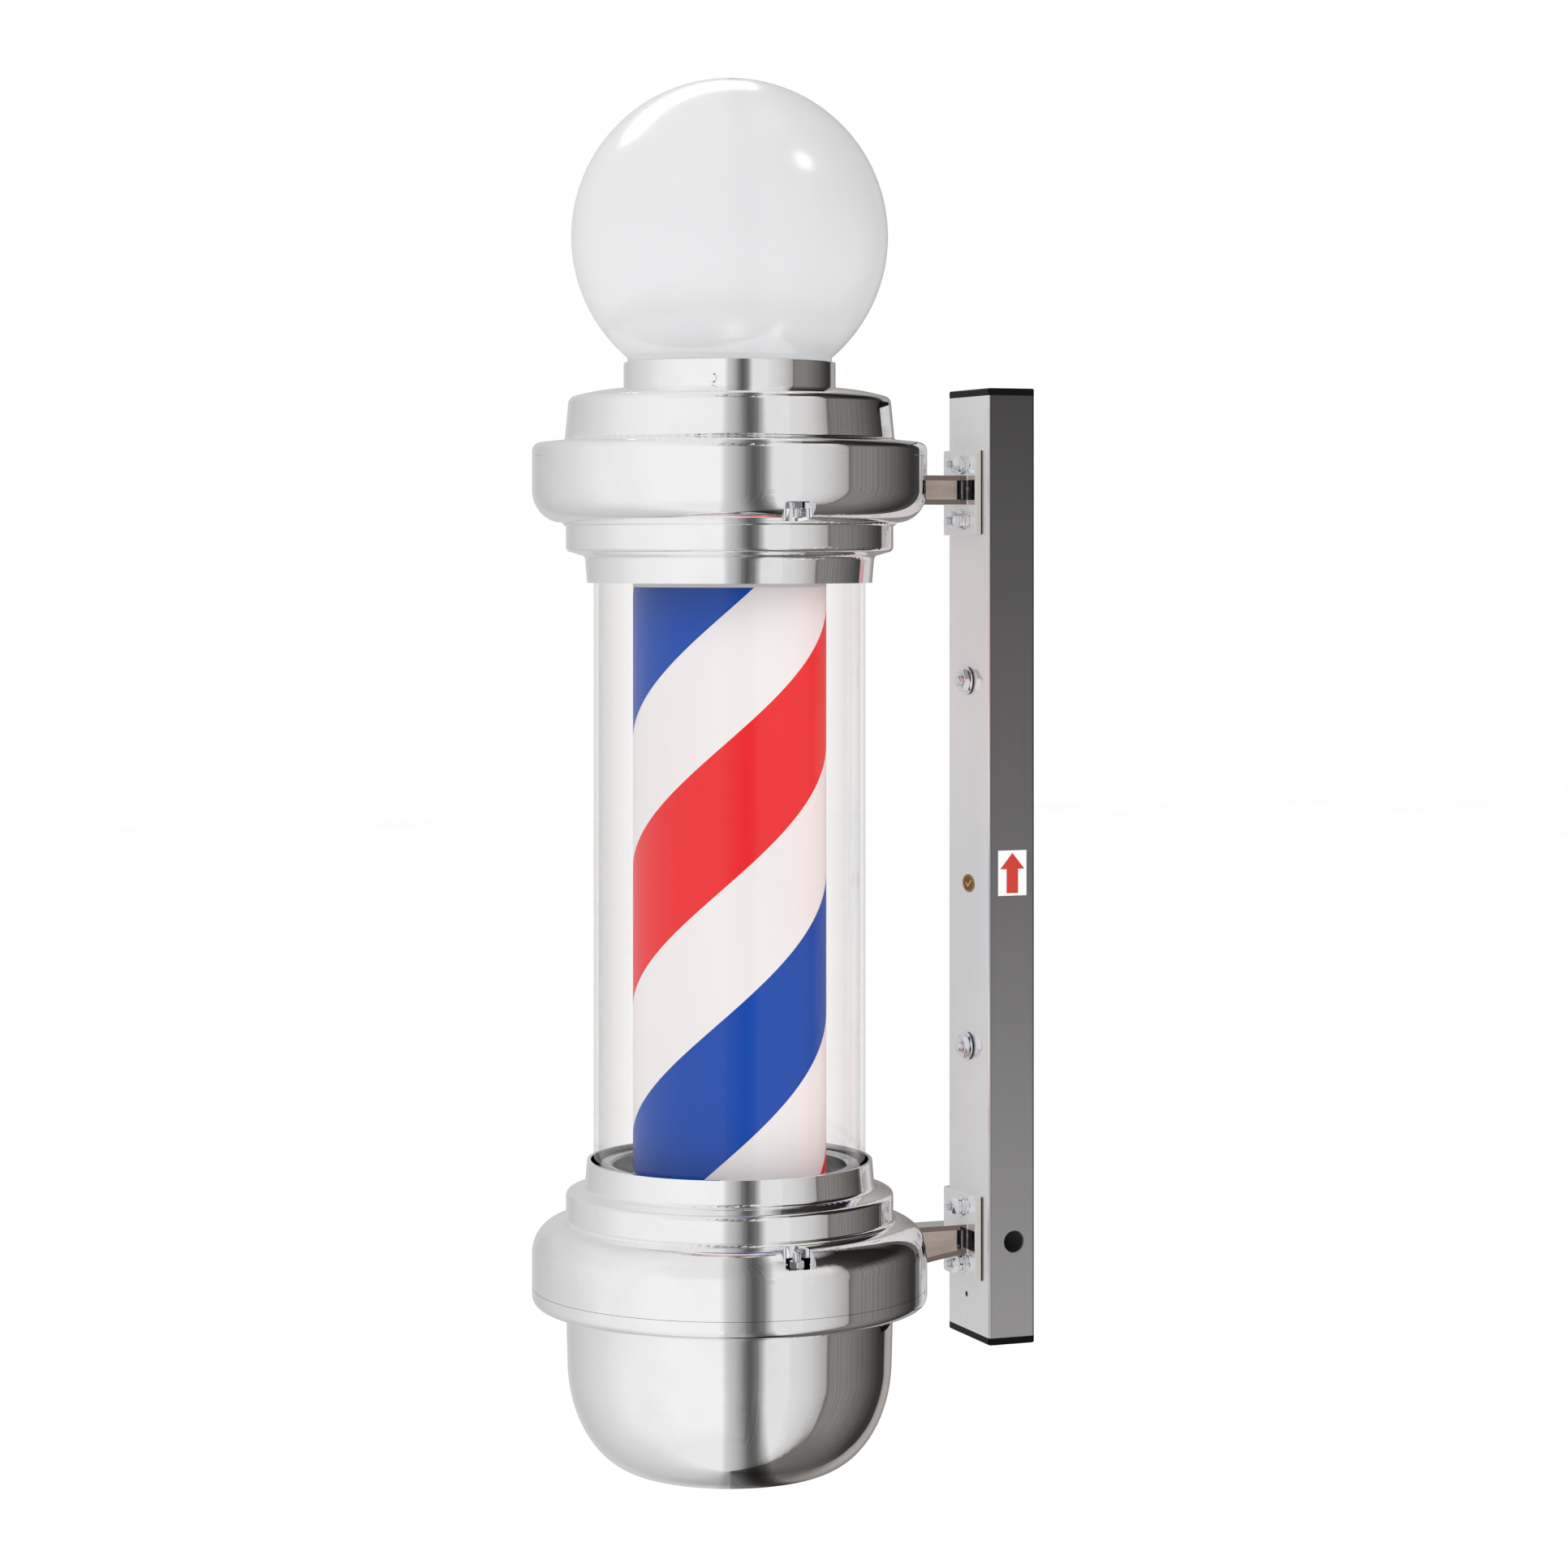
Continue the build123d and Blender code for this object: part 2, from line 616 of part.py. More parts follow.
with BuildPart() as drive_hub:
    ring(hub_screw_circle + 5, motor_shaft_radius, drum_bottom_z, drum_bottom_z + hub_flange)
    ring(hub_radius, motor_shaft_radius, drum_bottom_z + hub_flange, drum_bottom_z + hub_flange + hub_barrel)
    with BuildSketch(level(drum_bottom_z)):
        with PolarLocations(hub_screw_circle, 3):
            Circle(hub_screw_radius)
    extrude(amount=hub_flange, mode=Mode.SUBTRACT)
save(drive_hub, "drive_hub")

with BuildPart() as hub_screws:
    with BuildSketch(level(drum_bottom_z - drum_cap_rim)):
        with PolarLocations(hub_screw_circle, 3):
            Circle(hub_screw_radius)
    extrude(amount=drum_cap_rim + hub_flange)
    with BuildSketch(level(drum_bottom_z + hub_flange)):
        with PolarLocations(hub_screw_circle, 3):
            Circle(hub_screw_head_radius)
    extrude(amount=hub_screw_head, taper=12)
save(hub_screws, "hub_screws")

motor_top_z = -ledge_z - carrier_thickness
shaft_top_z = drum_bottom_z + hub_flange + hub_barrel

with BuildPart() as motor_shaft:
    ring(motor_shaft_radius, 0, motor_top_z - shaft_seat, shaft_top_z)
save(motor_shaft, "motor_shaft")

with BuildPart() as gear_motor:
    ring(motor_radius, 0, motor_top_z - motor_height, motor_top_z)
    fillet(gear_motor.edges().filter_by(GeomType.CIRCLE).group_by(Axis.Z)[0], 2.0)
    with BuildSketch(level(motor_top_z - motor_ear_thickness)):
        SlotCenterToCenter(motor_ear_spacing, 2 * motor_ear_radius)
    extrude(amount=motor_ear_thickness)
    ring(motor_boss_radius, 0, motor_top_z, motor_top_z + carrier_thickness + motor_boss_height)
    with BuildSketch(level(motor_top_z - motor_ear_thickness)):
        with GridLocations(motor_ear_spacing, 0, 2, 1):
            Circle(motor_screw_radius)
    extrude(amount=motor_ear_thickness, mode=Mode.SUBTRACT)
    ring(motor_shaft_radius + running_fit, 0, motor_top_z - shaft_seat - 0.5, motor_top_z + 10,
         mode=Mode.SUBTRACT)
save(gear_motor, "gear_motor")

with BuildPart() as motor_screws:
    with BuildSketch(level(motor_top_z - motor_ear_thickness)):
        with GridLocations(motor_ear_spacing, 0, 2, 1):
            Circle(motor_screw_radius)
    extrude(amount=motor_ear_thickness + carrier_thickness)
    for base_z, reach in ((-ledge_z, 2.2), (motor_top_z - motor_ear_thickness, -3.2)):
        with BuildSketch(level(base_z)):
            with GridLocations(motor_ear_spacing, 0, 2, 1):
                RegularPolygon(3.5, 6, major_radius=False)
        extrude(amount=reach)
save(motor_screws, "motor_screws")

# ---------------------------------------------------------------- fixed stem and the drum's lamp
with BuildPart() as lamp_stem:
    ring(stem_radius, stem_bore_radius, stem_bottom_z, stem_top_z)
save(lamp_stem, "lamp_stem")

with BuildPart() as stem_nuts:
    for base_z, height in ((ledge_z + carrier_thickness, stem_nut_height), (ledge_z, -stem_nut_height)):
        with BuildSketch(level(base_z)):
            RegularPolygon(stem_nut_across_flats / 2, 6, major_radius=False)
            Circle(stem_radius, mode=Mode.SUBTRACT)
        extrude(amount=height)
save(stem_nuts, "stem_nuts")

with BuildPart() as lamp_holder:
    ring(lamp_holder_radius, stem_radius, stem_bottom_z, stem_bottom_z + 10)
    ring(lamp_holder_radius, lamp_radius + 0.2, stem_bottom_z - lamp_holder_height, stem_bottom_z)
    ring(lamp_radius + 1, stem_bore_radius, stem_bottom_z - 4, stem_bottom_z)
save(lamp_holder, "lamp_holder")

with BuildPart() as drum_lamp:
    lamp_top_z = stem_bottom_z - 5
    ring(lamp_radius, 0, lamp_top_z - lamp_length, lamp_top_z)
    fillet(drum_lamp.edges().filter_by(GeomType.CIRCLE).group_by(Axis.Z)[0], 6.0)
save(drum_lamp, "drum_lamp")

# ---------------------------------------------------------------- electrics under the motor plate
with BuildPart() as led_driver:
    with BuildSketch(level(motor_top_z)):
        with Locations((0, 52)):
            RectangleRounded(62.0, 28.0, 3.0)
    extrude(amount=-24.0)
    fillet(led_driver.edges().group_by(Axis.Z)[0], 1.2)
save(led_driver, "led_driver")

with BuildPart() as terminal_block:
    with BuildSketch(level(motor_top_z)):
        with Locations((0, -52)):
            Rectangle(44.0, 18.0)
    extrude(amount=-8.0)
    with BuildSketch(level(motor_top_z - 8)):
        with Locations((0, -52)):
            with GridLocations(14.0, 0, 3, 1):
                Rectangle(10.0, 18.0)
    extrude(amount=-7.0)
    with BuildSketch(level(motor_top_z - 15)):
        with Locations((0, -52)):
            with GridLocations(14.0, 10.0, 3, 2):
                Circle(2.4)
    extrude(amount=4.0, mode=Mode.SUBTRACT)
save(terminal_block, "terminal_block")

# ---------------------------------------------------------------- wall rail
with BuildPart() as wall_rail:
    with BuildSketch(Plane((0, -rail_depth / 2, -rail_length / 2))):
        RectangleRounded(rail_width, rail_depth, rail_corner)
        RectangleRounded(rail_width - 2 * rail_wall, rail_depth - 2 * rail_wall, rail_corner / 2,
                         mode=Mode.SUBTRACT)
    extrude(amount=rail_length)
    # anchor holes right through, front and back
    with BuildSketch(wall_plane(0)):
        with Locations(*[(0, z) for z in anchor_heights]):
            Circle(anchor_hole_diameter / 2)
    extrude(amount=rail_depth, mode=Mode.SUBTRACT)
    # front wall only: rivet nuts for the brackets, lead holes behind the arms and the earth screw hole
    with BuildSketch(wall_plane(-rail_depth / 2)):
        with Locations(*[(0, z) for z in bolt_heights]):
            Circle(rivet_nut_diameter / 2)
        with Locations(*[(0, z) for z in bracket_heights]):
            Circle(arm_bore / 2 + 1)
        with Locations((-3, earth_hole_z)):
            Circle(earth_hole_diameter / 2)
    extrude(amount=rail_depth, mode=Mode.SUBTRACT)
    # cable entry in the right-hand side wall, level with the lower bracket
    with BuildSketch(Plane((0, cable_hole_y, cable_hole_z), x_dir=(0, 1, 0), z_dir=(1, 0, 0))):
        Circle(cable_hole_diameter / 2)
    extrude(amount=rail_width, mode=Mode.SUBTRACT)
save(wall_rail, "wall_rail")

with BuildPart() as rail_top_cap:
    with BuildSketch(Plane((0, -rail_depth / 2, rail_length / 2))):
        RectangleRounded(rail_width, rail_depth, rail_corner)
    extrude(amount=rail_cap_height)
    chamfer(rail_top_cap.edges().group_by(Axis.Z)[-1], 0.6)
    with BuildSketch(Plane((0, -rail_depth / 2, rail_length / 2))):
        RectangleRounded(rail_width - 2 * rail_wall - 2 * plug_fit,
                         rail_depth - 2 * rail_wall - 2 * plug_fit, rail_corner / 2)
        Rectangle(rail_width - 2 * rail_wall - 4, rail_depth - 2 * rail_wall - 4, mode=Mode.SUBTRACT)
    extrude(amount=-rail_plug_length)
save(rail_top_cap, "rail_top_cap")

with BuildPart() as rail_bottom_cap:
    mirror(rail_top_cap.part, about=Plane.XY)
save(rail_bottom_cap, "rail_bottom_cap")

# ---------------------------------------------------------------- brackets
with BuildPart() as housing_envelope:
    add(band_solid.part)
    mirror(about=Plane.XY)


def arm_outline(height, drop):
    """Side view of an arm; its lower edge falls by drop from the plate to the housing."""
    top = height + arm_height / 2
    bottom = height - arm_height / 2
    Polyline((plate_front_y, bottom), (plate_front_y, top), (arm_end_y, top), (arm_end_y, bottom - drop))
    if drop > 0:
        middle = ((plate_front_y + arm_end_y) / 2, bottom - 0.42 * drop)
        ThreePointArc((arm_end_y, bottom - drop), middle, (plate_front_y, bottom))
    else:
        Line((arm_end_y, bottom), (plate_front_y, bottom))


def bracket(height, plate_z, drop):
    """Cast bracket: a plate on the rail and a flanged arm that ends on the outside of its housing."""
    with BuildPart() as casting:
        with BuildSketch(Plane.YZ):
            with BuildLine():
                arm_outline(height, drop)
            make_face()
        extrude(amount=arm_width / 2, both=True)
        # the hollow on each side leaves a flange above and below the web
        for side_x in (arm_web_width / 2, -arm_width / 2):
            with BuildSketch(Plane.YZ.offset(side_x)):
                with BuildLine():
                    arm_outline(height, drop)
                make_face()
                offset(amount=-arm_flange, kind=Kind.INTERSECTION, mode=Mode.REPLACE)
            extrude(amount=(arm_width - arm_web_width) / 2, mode=Mode.SUBTRACT)
        add(housing_envelope.part, mode=Mode.SUBTRACT)
        with BuildSketch(wall_plane(rail_front_y)):
            with Locations((plate_shift, plate_z)):
                RectangleRounded(plate_width, plate_height, plate_corner)
        extrude(amount=plate_thickness)
        # bore for the lead, bolt holes in the plate and tapped holes in the end of the arm
        with BuildSketch(wall_plane(rail_front_y)):
            with Locations((0, height)):
                Circle(arm_bore / 2)
        extrude(amount=-rail_front_y - arm_end_y, mode=Mode.SUBTRACT)
        with BuildSketch(wall_plane(rail_front_y)):
            with Locations((0, plate_z + bracket_bolt_spacing / 2), (0, plate_z - bracket_bolt_spacing / 2)):
                Circle(bracket_bolt_diameter / 2 + bracket_bolt_clearance)
        extrude(amount=plate_thickness, mode=Mode.SUBTRACT)
        with BuildSketch(wall_plane(arm_end_y)):
            with Locations(*arm_screw_places(height)):
                Circle(arm_screw_diameter / 2)
        extrude(amount=-arm_screw_reach, mode=Mode.SUBTRACT)
    return casting


upper_bracket = bracket(bracket_heights[0], plate_heights[0], 0.0)
save(upper_bracket, "upper_bracket")

lower_bracket = bracket(bracket_heights[1], plate_heights[1], arm_flare)
save(lower_bracket, "lower_bracket")

with BuildPart() as bracket_screws:
    for height in bracket_heights:
        with BuildSketch(wall_plane(arm_end_y)):
            with Locations(*arm_screw_places(height)):
                Circle(arm_screw_diameter / 2)
        extrude(amount=-arm_screw_reach)
        with BuildSketch(wall_plane(arm_end_y)):
            with Locations(*arm_screw_places(height)):
                Circle(arm_screw_head_radius)
        extrude(amount=arm_screw_head)
save(bracket_screws, "bracket_screws")


def on_front(heights, start_y, reach, across, hexagon=False, hole=0.0):
    """Same round or hexagonal piece at each height, standing out from the plane y = start_y."""
    with BuildPart() as pieces:
        with BuildSketch(wall_plane(start_y)):
            with Locations(*[(0, z) for z in heights]):
                if hexagon:
                    RegularPolygon(across / 2, 6, major_radius=False, rotation=20)
                else:
                    Circle(across / 2)
                if hole > 0:
                    Circle(hole / 2, mode=Mode.SUBTRACT)
        extrude(amount=reach)
    return pieces


washer_y = plate_front_y - bracket_washer_height
lock_washer_y = washer_y - bracket_lock_washer_height
bracket_nut_y = lock_washer_y - bracket_nut_height
rivet_nut_back_y = rail_front_y + rivet_nut_length

save(on_front(bolt_heights, plate_front_y, bracket_washer_height, bracket_washer_diameter,
              hole=bracket_bolt_diameter), "bracket_washers")
save(on_front(bolt_heights, washer_y, bracket_lock_washer_height, bracket_nut_across_flats,
              hole=bracket_bolt_diameter), "bracket_lock_washers")
save(on_front(bolt_heights, lock_washer_y, bracket_nut_height, bracket_nut_across_flats,
              hexagon=True, hole=bracket_bolt_diameter), "bracket_nuts")
save(on_front(bolt_heights, rivet_nut_back_y, rivet_nut_back_y - bracket_nut_y + bracket_bolt_end,
              bracket_bolt_diameter), "bracket_studs")
save(on_front(bolt_heights, rivet_nut_back_y, rivet_nut_length, rivet_nut_diameter,
              hole=bracket_bolt_diameter), "rivet_nuts")

# ---------------------------------------------------------------- wall anchors
seal_y = rail_front_y - anchor_seal_height
anchor_washer_y = seal_y - anchor_washer_height
anchor_nut_y = anchor_washer_y - anchor_nut_height

save(on_front(anchor_heights, rail_front_y, anchor_seal_height, anchor_washer_diameter,
              hole=anchor_diameter), "anchor_seals")
save(on_front(anchor_heights, seal_y, anchor_washer_height, anchor_washer_diameter,
              hole=anchor_diameter), "anchor_washers")
save(on_front(anchor_heights, anchor_washer_y, anchor_nut_height, anchor_nut_across_flats,
              hexagon=True, hole=anchor_diameter), "anchor_nuts")
save(on_front(anchor_heights, 0, anchor_end_length - anchor_nut_y, anchor_diameter), "anchor_studs")

# ---------------------------------------------------------------- labels
label_plane = Plane((rail_width / 2, -rail_depth / 2, sticker_z), x_dir=(0, 1, 0), z_dir=(1, 0, 0))

with BuildPart() as arrow_label:
    with BuildSketch(label_plane):
        Rectangle(sticker_width, sticker_height)
    extrude(amount=label_thickness)
save(arrow_label, "arrow_label")

with BuildPart() as arrow_print:
    arrow_tip = arrow_height / 2
    head_base = arrow_tip - arrow_head_height
    with BuildSketch(label_plane.offset(label_thickness)):
        with BuildLine():
            Polyline((arrow_shaft_width / 2, -arrow_tip), (arrow_shaft_width / 2, head_base),
                     (arrow_width / 2, head_base), (0, arrow_tip), (-arrow_width / 2, head_base),
                     (-arrow_shaft_width / 2, head_base), (-arrow_shaft_width / 2, -arrow_tip), close=True)
        make_face()
    extrude(amount=label_thickness / 2)
save(arrow_print, "arrow_print")

with BuildPart() as inspection_seal:
    with BuildSketch(wall_plane(rail_front_y)):
        with Locations((0, seal_z)):
            Ellipse(seal_width / 2, seal_height / 2)
    extrude(amount=label_thickness)
save(inspection_seal, "inspection_seal")
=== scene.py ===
"""Looks of the wall-hung barber pole light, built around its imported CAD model.

Metres, +Z up, wall at y = 0.
"""
import math

import bmesh
import bpy
from mathutils import Matrix, Vector


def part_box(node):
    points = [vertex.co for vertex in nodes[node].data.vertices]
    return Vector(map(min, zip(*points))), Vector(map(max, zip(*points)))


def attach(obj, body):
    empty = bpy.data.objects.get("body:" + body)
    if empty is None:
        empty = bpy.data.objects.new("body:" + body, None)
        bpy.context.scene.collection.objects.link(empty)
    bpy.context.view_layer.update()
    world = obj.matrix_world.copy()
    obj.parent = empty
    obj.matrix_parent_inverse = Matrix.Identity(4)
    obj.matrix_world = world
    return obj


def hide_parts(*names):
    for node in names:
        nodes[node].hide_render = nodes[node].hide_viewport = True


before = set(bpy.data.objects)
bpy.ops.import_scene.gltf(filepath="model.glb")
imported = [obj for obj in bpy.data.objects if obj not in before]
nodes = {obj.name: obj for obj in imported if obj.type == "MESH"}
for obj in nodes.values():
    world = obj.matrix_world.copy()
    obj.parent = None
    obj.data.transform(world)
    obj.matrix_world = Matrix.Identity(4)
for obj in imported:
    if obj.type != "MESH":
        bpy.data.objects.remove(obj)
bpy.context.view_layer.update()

# ------------------------------------------------------------------ driving numbers
AXIS_Y = -0.184                       # the pole stands on the line x = 0, y = AXIS_Y
VIEW_AZIMUTH = 69.28                  # degrees from -Y towards +X
VIEW_DISTANCE = 2.3365
VIEW_HEIGHT = 0.1877
VIEW_LENS = 91.09
VIEW_SHIFT = (0.0347, -0.1481)

STRIPE_LEAD = 0.315                   # rise of the helix in one turn
STRIPE_COLOUR_HEIGHT = 0.0821         # height of a red or blue band
STRIPE_RED_BASE = -0.0030             # lower edge of the red band on the meridian below
STRIPE_MERIDIAN = -20.72              # degrees from +X

TUBE_MIRROR = 0.014                   # share of light that each face of the clear tube mirrors head on
TUBE_EDGE_MIRROR = 0.36               # and how much more of it at a grazing angle

PLATE_FRONT_Y = -0.0348               # front of the bracket plates
CONTACT_SHADOW_Y = -0.0308                   # end of the painted contact shadow round the back of the plates
ARM_Z = 0.2247                        # height of the bracket arms above and below the middle

GLOBE_Z = 0.373                       # middle of the globe
AIM_Z = 0.05                          # height that the soft boxes are aimed at
GLOBE_LAMP_DISTANCE = 2.6
FILM_SEAM = 150.0                     # bearing of the film's overlap, degrees from +X
FLOOR_Z = -0.95


def srgb(*levels):
    """Linear RGBA from 8-bit sRGB levels; one level makes a grey."""
    if len(levels) == 1:
        levels = levels * 3
    linear = [v / 255 / 12.92 if v <= 10 else ((v / 255 + 0.055) / 1.055) ** 2.4 for v in levels]
    return (*linear, 1.0)


# ------------------------------------------------------------------ node helpers
class Graph:
    """Short calls for building a node tree."""

    def __init__(self, tree):
        self.tree = tree
        tree.nodes.clear()

    def add(self, kind, inputs=None, **settings):
        """New node; inputs maps a socket's name or index to a value or to another socket."""
        node = self.tree.nodes.new(kind)
        for key, value in settings.items():
            setattr(node, key, value)
        for key, value in (inputs or {}).items():
            self.put(node.inputs[key], value)
        return node

    def put(self, socket, value):
        if isinstance(value, bpy.types.NodeSocket):
            self.tree.links.new(value, socket)
        else:
            socket.default_value = value

    def math(self, operation, a, b=0.0, c=0.0, clamp=False):
        node = self.add("ShaderNodeMath", {0: a, 1: b, 2: c}, operation=operation, use_clamp=clamp)
        return node.outputs[0]

    def remap(self, value, low, high, to_low=0.0, to_high=1.0, smooth=False):
        kind = "SMOOTHSTEP" if smooth else "LINEAR"
        node = self.add("ShaderNodeMapRange", {0: value, 1: low, 2: high, 3: to_low, 4: to_high},
                        interpolation_type=kind)
        return node.outputs[0]

    def mix(self, factor, a, b, blend="MIX"):
        node = self.add("ShaderNodeMix", {0: factor, 6: a, 7: b}, data_type="RGBA", blend_type=blend)
        return node.outputs[2]

    def ramp(self, factor, stops, interpolation="LINEAR"):
        """Colour ramp; stops are (place, colour)."""
        node = self.add("ShaderNodeValToRGB", {0: factor})
        ramp = node.color_ramp
        ramp.interpolation = interpolation
        while len(ramp.elements) < len(stops):
            ramp.elements.new(0.5)
        for element, (place, colour) in zip(ramp.elements, sorted(stops, key=lambda s: s[0])):
            element.position = place
            element.color = colour
        return node.outputs[0]

    def object_point(self):
        return self.add("ShaderNodeTexCoord").outputs["Object"]

    def noise(self, scale, stretch=(1, 1, 1), detail=3.0, roughness=0.5, offset=(0, 0, 0)):
        """Noise in object space, stretched along the axes whose stretch is small."""
        place = self.add("ShaderNodeMapping", {"Vector": self.object_point(), "Scale": stretch,
                                               "Location": offset})
        node = self.add("ShaderNodeTexNoise", {"Vector": place.outputs[0], "Scale": scale, "Detail": detail,
                                               "Roughness": roughness})
        return node.outputs[0]

    def bump(self, height, strength, distance=0.001):
        node = self.add("ShaderNodeBump", {"Height": height, "Strength": strength, "Distance": distance})
        return node.outputs[0]


def material(name, build):
    """New node material; build(graph) returns the socket of its surface shader."""
    made = bpy.data.materials.new(name)
    made.use_nodes = True
    graph = Graph(made.node_tree)
    surface = build(graph)
    graph.add("ShaderNodeOutputMaterial", {"Surface": surface})
    return made


def principled(graph, **inputs):
    """Principled shader; keys are socket names with underscores for spaces."""
    named = {key.replace("_", " "): value for key, value in inputs.items()}
    return graph.add("ShaderNodeBsdfPrincipled", named).outputs[0]


# ------------------------------------------------------------------ materials
def metal(name, colour, roughness, spread=0.02, grain=(1, 1, 1), grain_scale=60.0, relief=0.0,
          tarnish=None, tarnish_scale=14.0):
    """Bare or plated metal whose gloss varies along a grain, with an optional duller tint in patches."""
    def build(graph):
        lines = graph.noise(grain_scale, grain, detail=4.0)
        patches = graph.noise(tarnish_scale, detail=5.0, roughness=0.6)
        base = colour
        if tarnish is not None:
            base = graph.mix(graph.remap(patches, 0.45, 0.75), colour, tarnish)
        gloss = graph.remap(lines, 0.3, 0.7, max(roughness - spread, 0.0), roughness + spread)
        inputs = dict(Base_Color=base, Metallic=1.0, Roughness=gloss)
        if relief > 0:
            inputs["Normal"] = graph.bump(lines, relief, 0.0002)
        return principled(graph, **inputs)
    return material(name, build)


def moulded(name, colour, roughness, grain_scale=900.0, relief=0.15, shade=None, shine=0.5):
    """Moulded plastic or rubber with a fine surface grain and a faint change of shade."""
    def build(graph):
        grain = graph.noise(grain_scale, detail=2.0)
        cloud = graph.noise(12.0, detail=3.0)
        base = graph.mix(graph.remap(cloud, 0.35, 0.7), colour, shade or colour)
        gloss = graph.remap(grain, 0.3, 0.7, roughness - 0.05, roughness + 0.05)
        return principled(graph, Base_Color=base, Roughness=gloss, Specular_IOR_Level=shine,
                          Normal=graph.bump(grain, relief, 0.0002))
    return material(name, build)


def chrome_surface(graph):
    """Polished plating on castings: upright polishing lines and a slow ripple that breaks up reflections."""
    lines = graph.noise(420.0, (1, 1, 0.012), detail=3.0)
    ripple = graph.noise(16.0, (1, 1, 0.5), detail=1.0)
    smudge = graph.noise(22.0, detail=5.0, roughness=0.65)
    gloss = graph.math("ADD", graph.remap(lines, 0.35, 0.65, 0.018, 0.042),
                       graph.remap(smudge, 0.55, 0.8, 0.0, 0.02))
    first = graph.add("ShaderNodeBump", {"Height": lines, "Strength": 0.04, "Distance": 0.0001})
    second = graph.add("ShaderNodeBump", {"Height": ripple, "Strength": 0.06, "Distance": 0.0004,
                                          "Normal": first.outputs[0]})
    tint = graph.mix(graph.remap(smudge, 0.5, 0.85), srgb(252, 252, 253), srgb(244, 243, 241))
    return principled(graph, Base_Color=tint, Metallic=1.0, Roughness=gloss, Normal=second.outputs[0])


def rail_surface(graph):
    """Drawn steel tube: polished front and back, and satin sides with a painted reflection that darkens
    towards the top.
    """
    geometry = graph.add("ShaderNodeNewGeometry")
    # the rail never turns, so its true normal in the world is also its normal in its own frame
    normal = graph.add("ShaderNodeSeparateXYZ", {0: geometry.outputs["True Normal"]})
    side = graph.remap(graph.math("ABSOLUTE", normal.outputs[0]), 0.55, 0.8, smooth=True)
    height = graph.add("ShaderNodeSeparateXYZ", {0: graph.object_point()}).outputs[2]
    drawn = graph.noise(1500.0, (1, 1, 0.004), detail=3.0)
    cloud = graph.noise(9.0, (1, 1, 0.4), detail=4.0)
    up = graph.remap(height, -0.285, 0.285)
    # painted reflection: the side faces get a grey that runs from light at the bottom to dark at the top
    side_painted_reflection = graph.ramp(up, [(0.0, srgb(186, 184, 185)), (0.5, srgb(137, 135, 136)), (1.0, srgb(92, 90, 91))])
    polished = graph.mix(graph.remap(cloud, 0.4, 0.7), srgb(249, 250, 250), srgb(236, 238, 238))
    colour = graph.mix(side, polished, side_painted_reflection)
    gloss = graph.math("ADD", graph.remap(side, 0.0, 1.0, 0.05, 0.42),
                       graph.remap(drawn, 0.3, 0.7, -0.03, 0.03))
    bump = graph.bump(drawn, 0.05, 0.0001)
    # painted reflection: the polished faces are less metallic, and so paler, towards the top
    film = graph.remap(up, 0.1, 1.0, 0.66, 0.34)
    metal_share = graph.math("MAXIMUM", film, side)
    return principled(graph, Base_Color=colour, Metallic=metal_share, Roughness=gloss, Normal=bump)


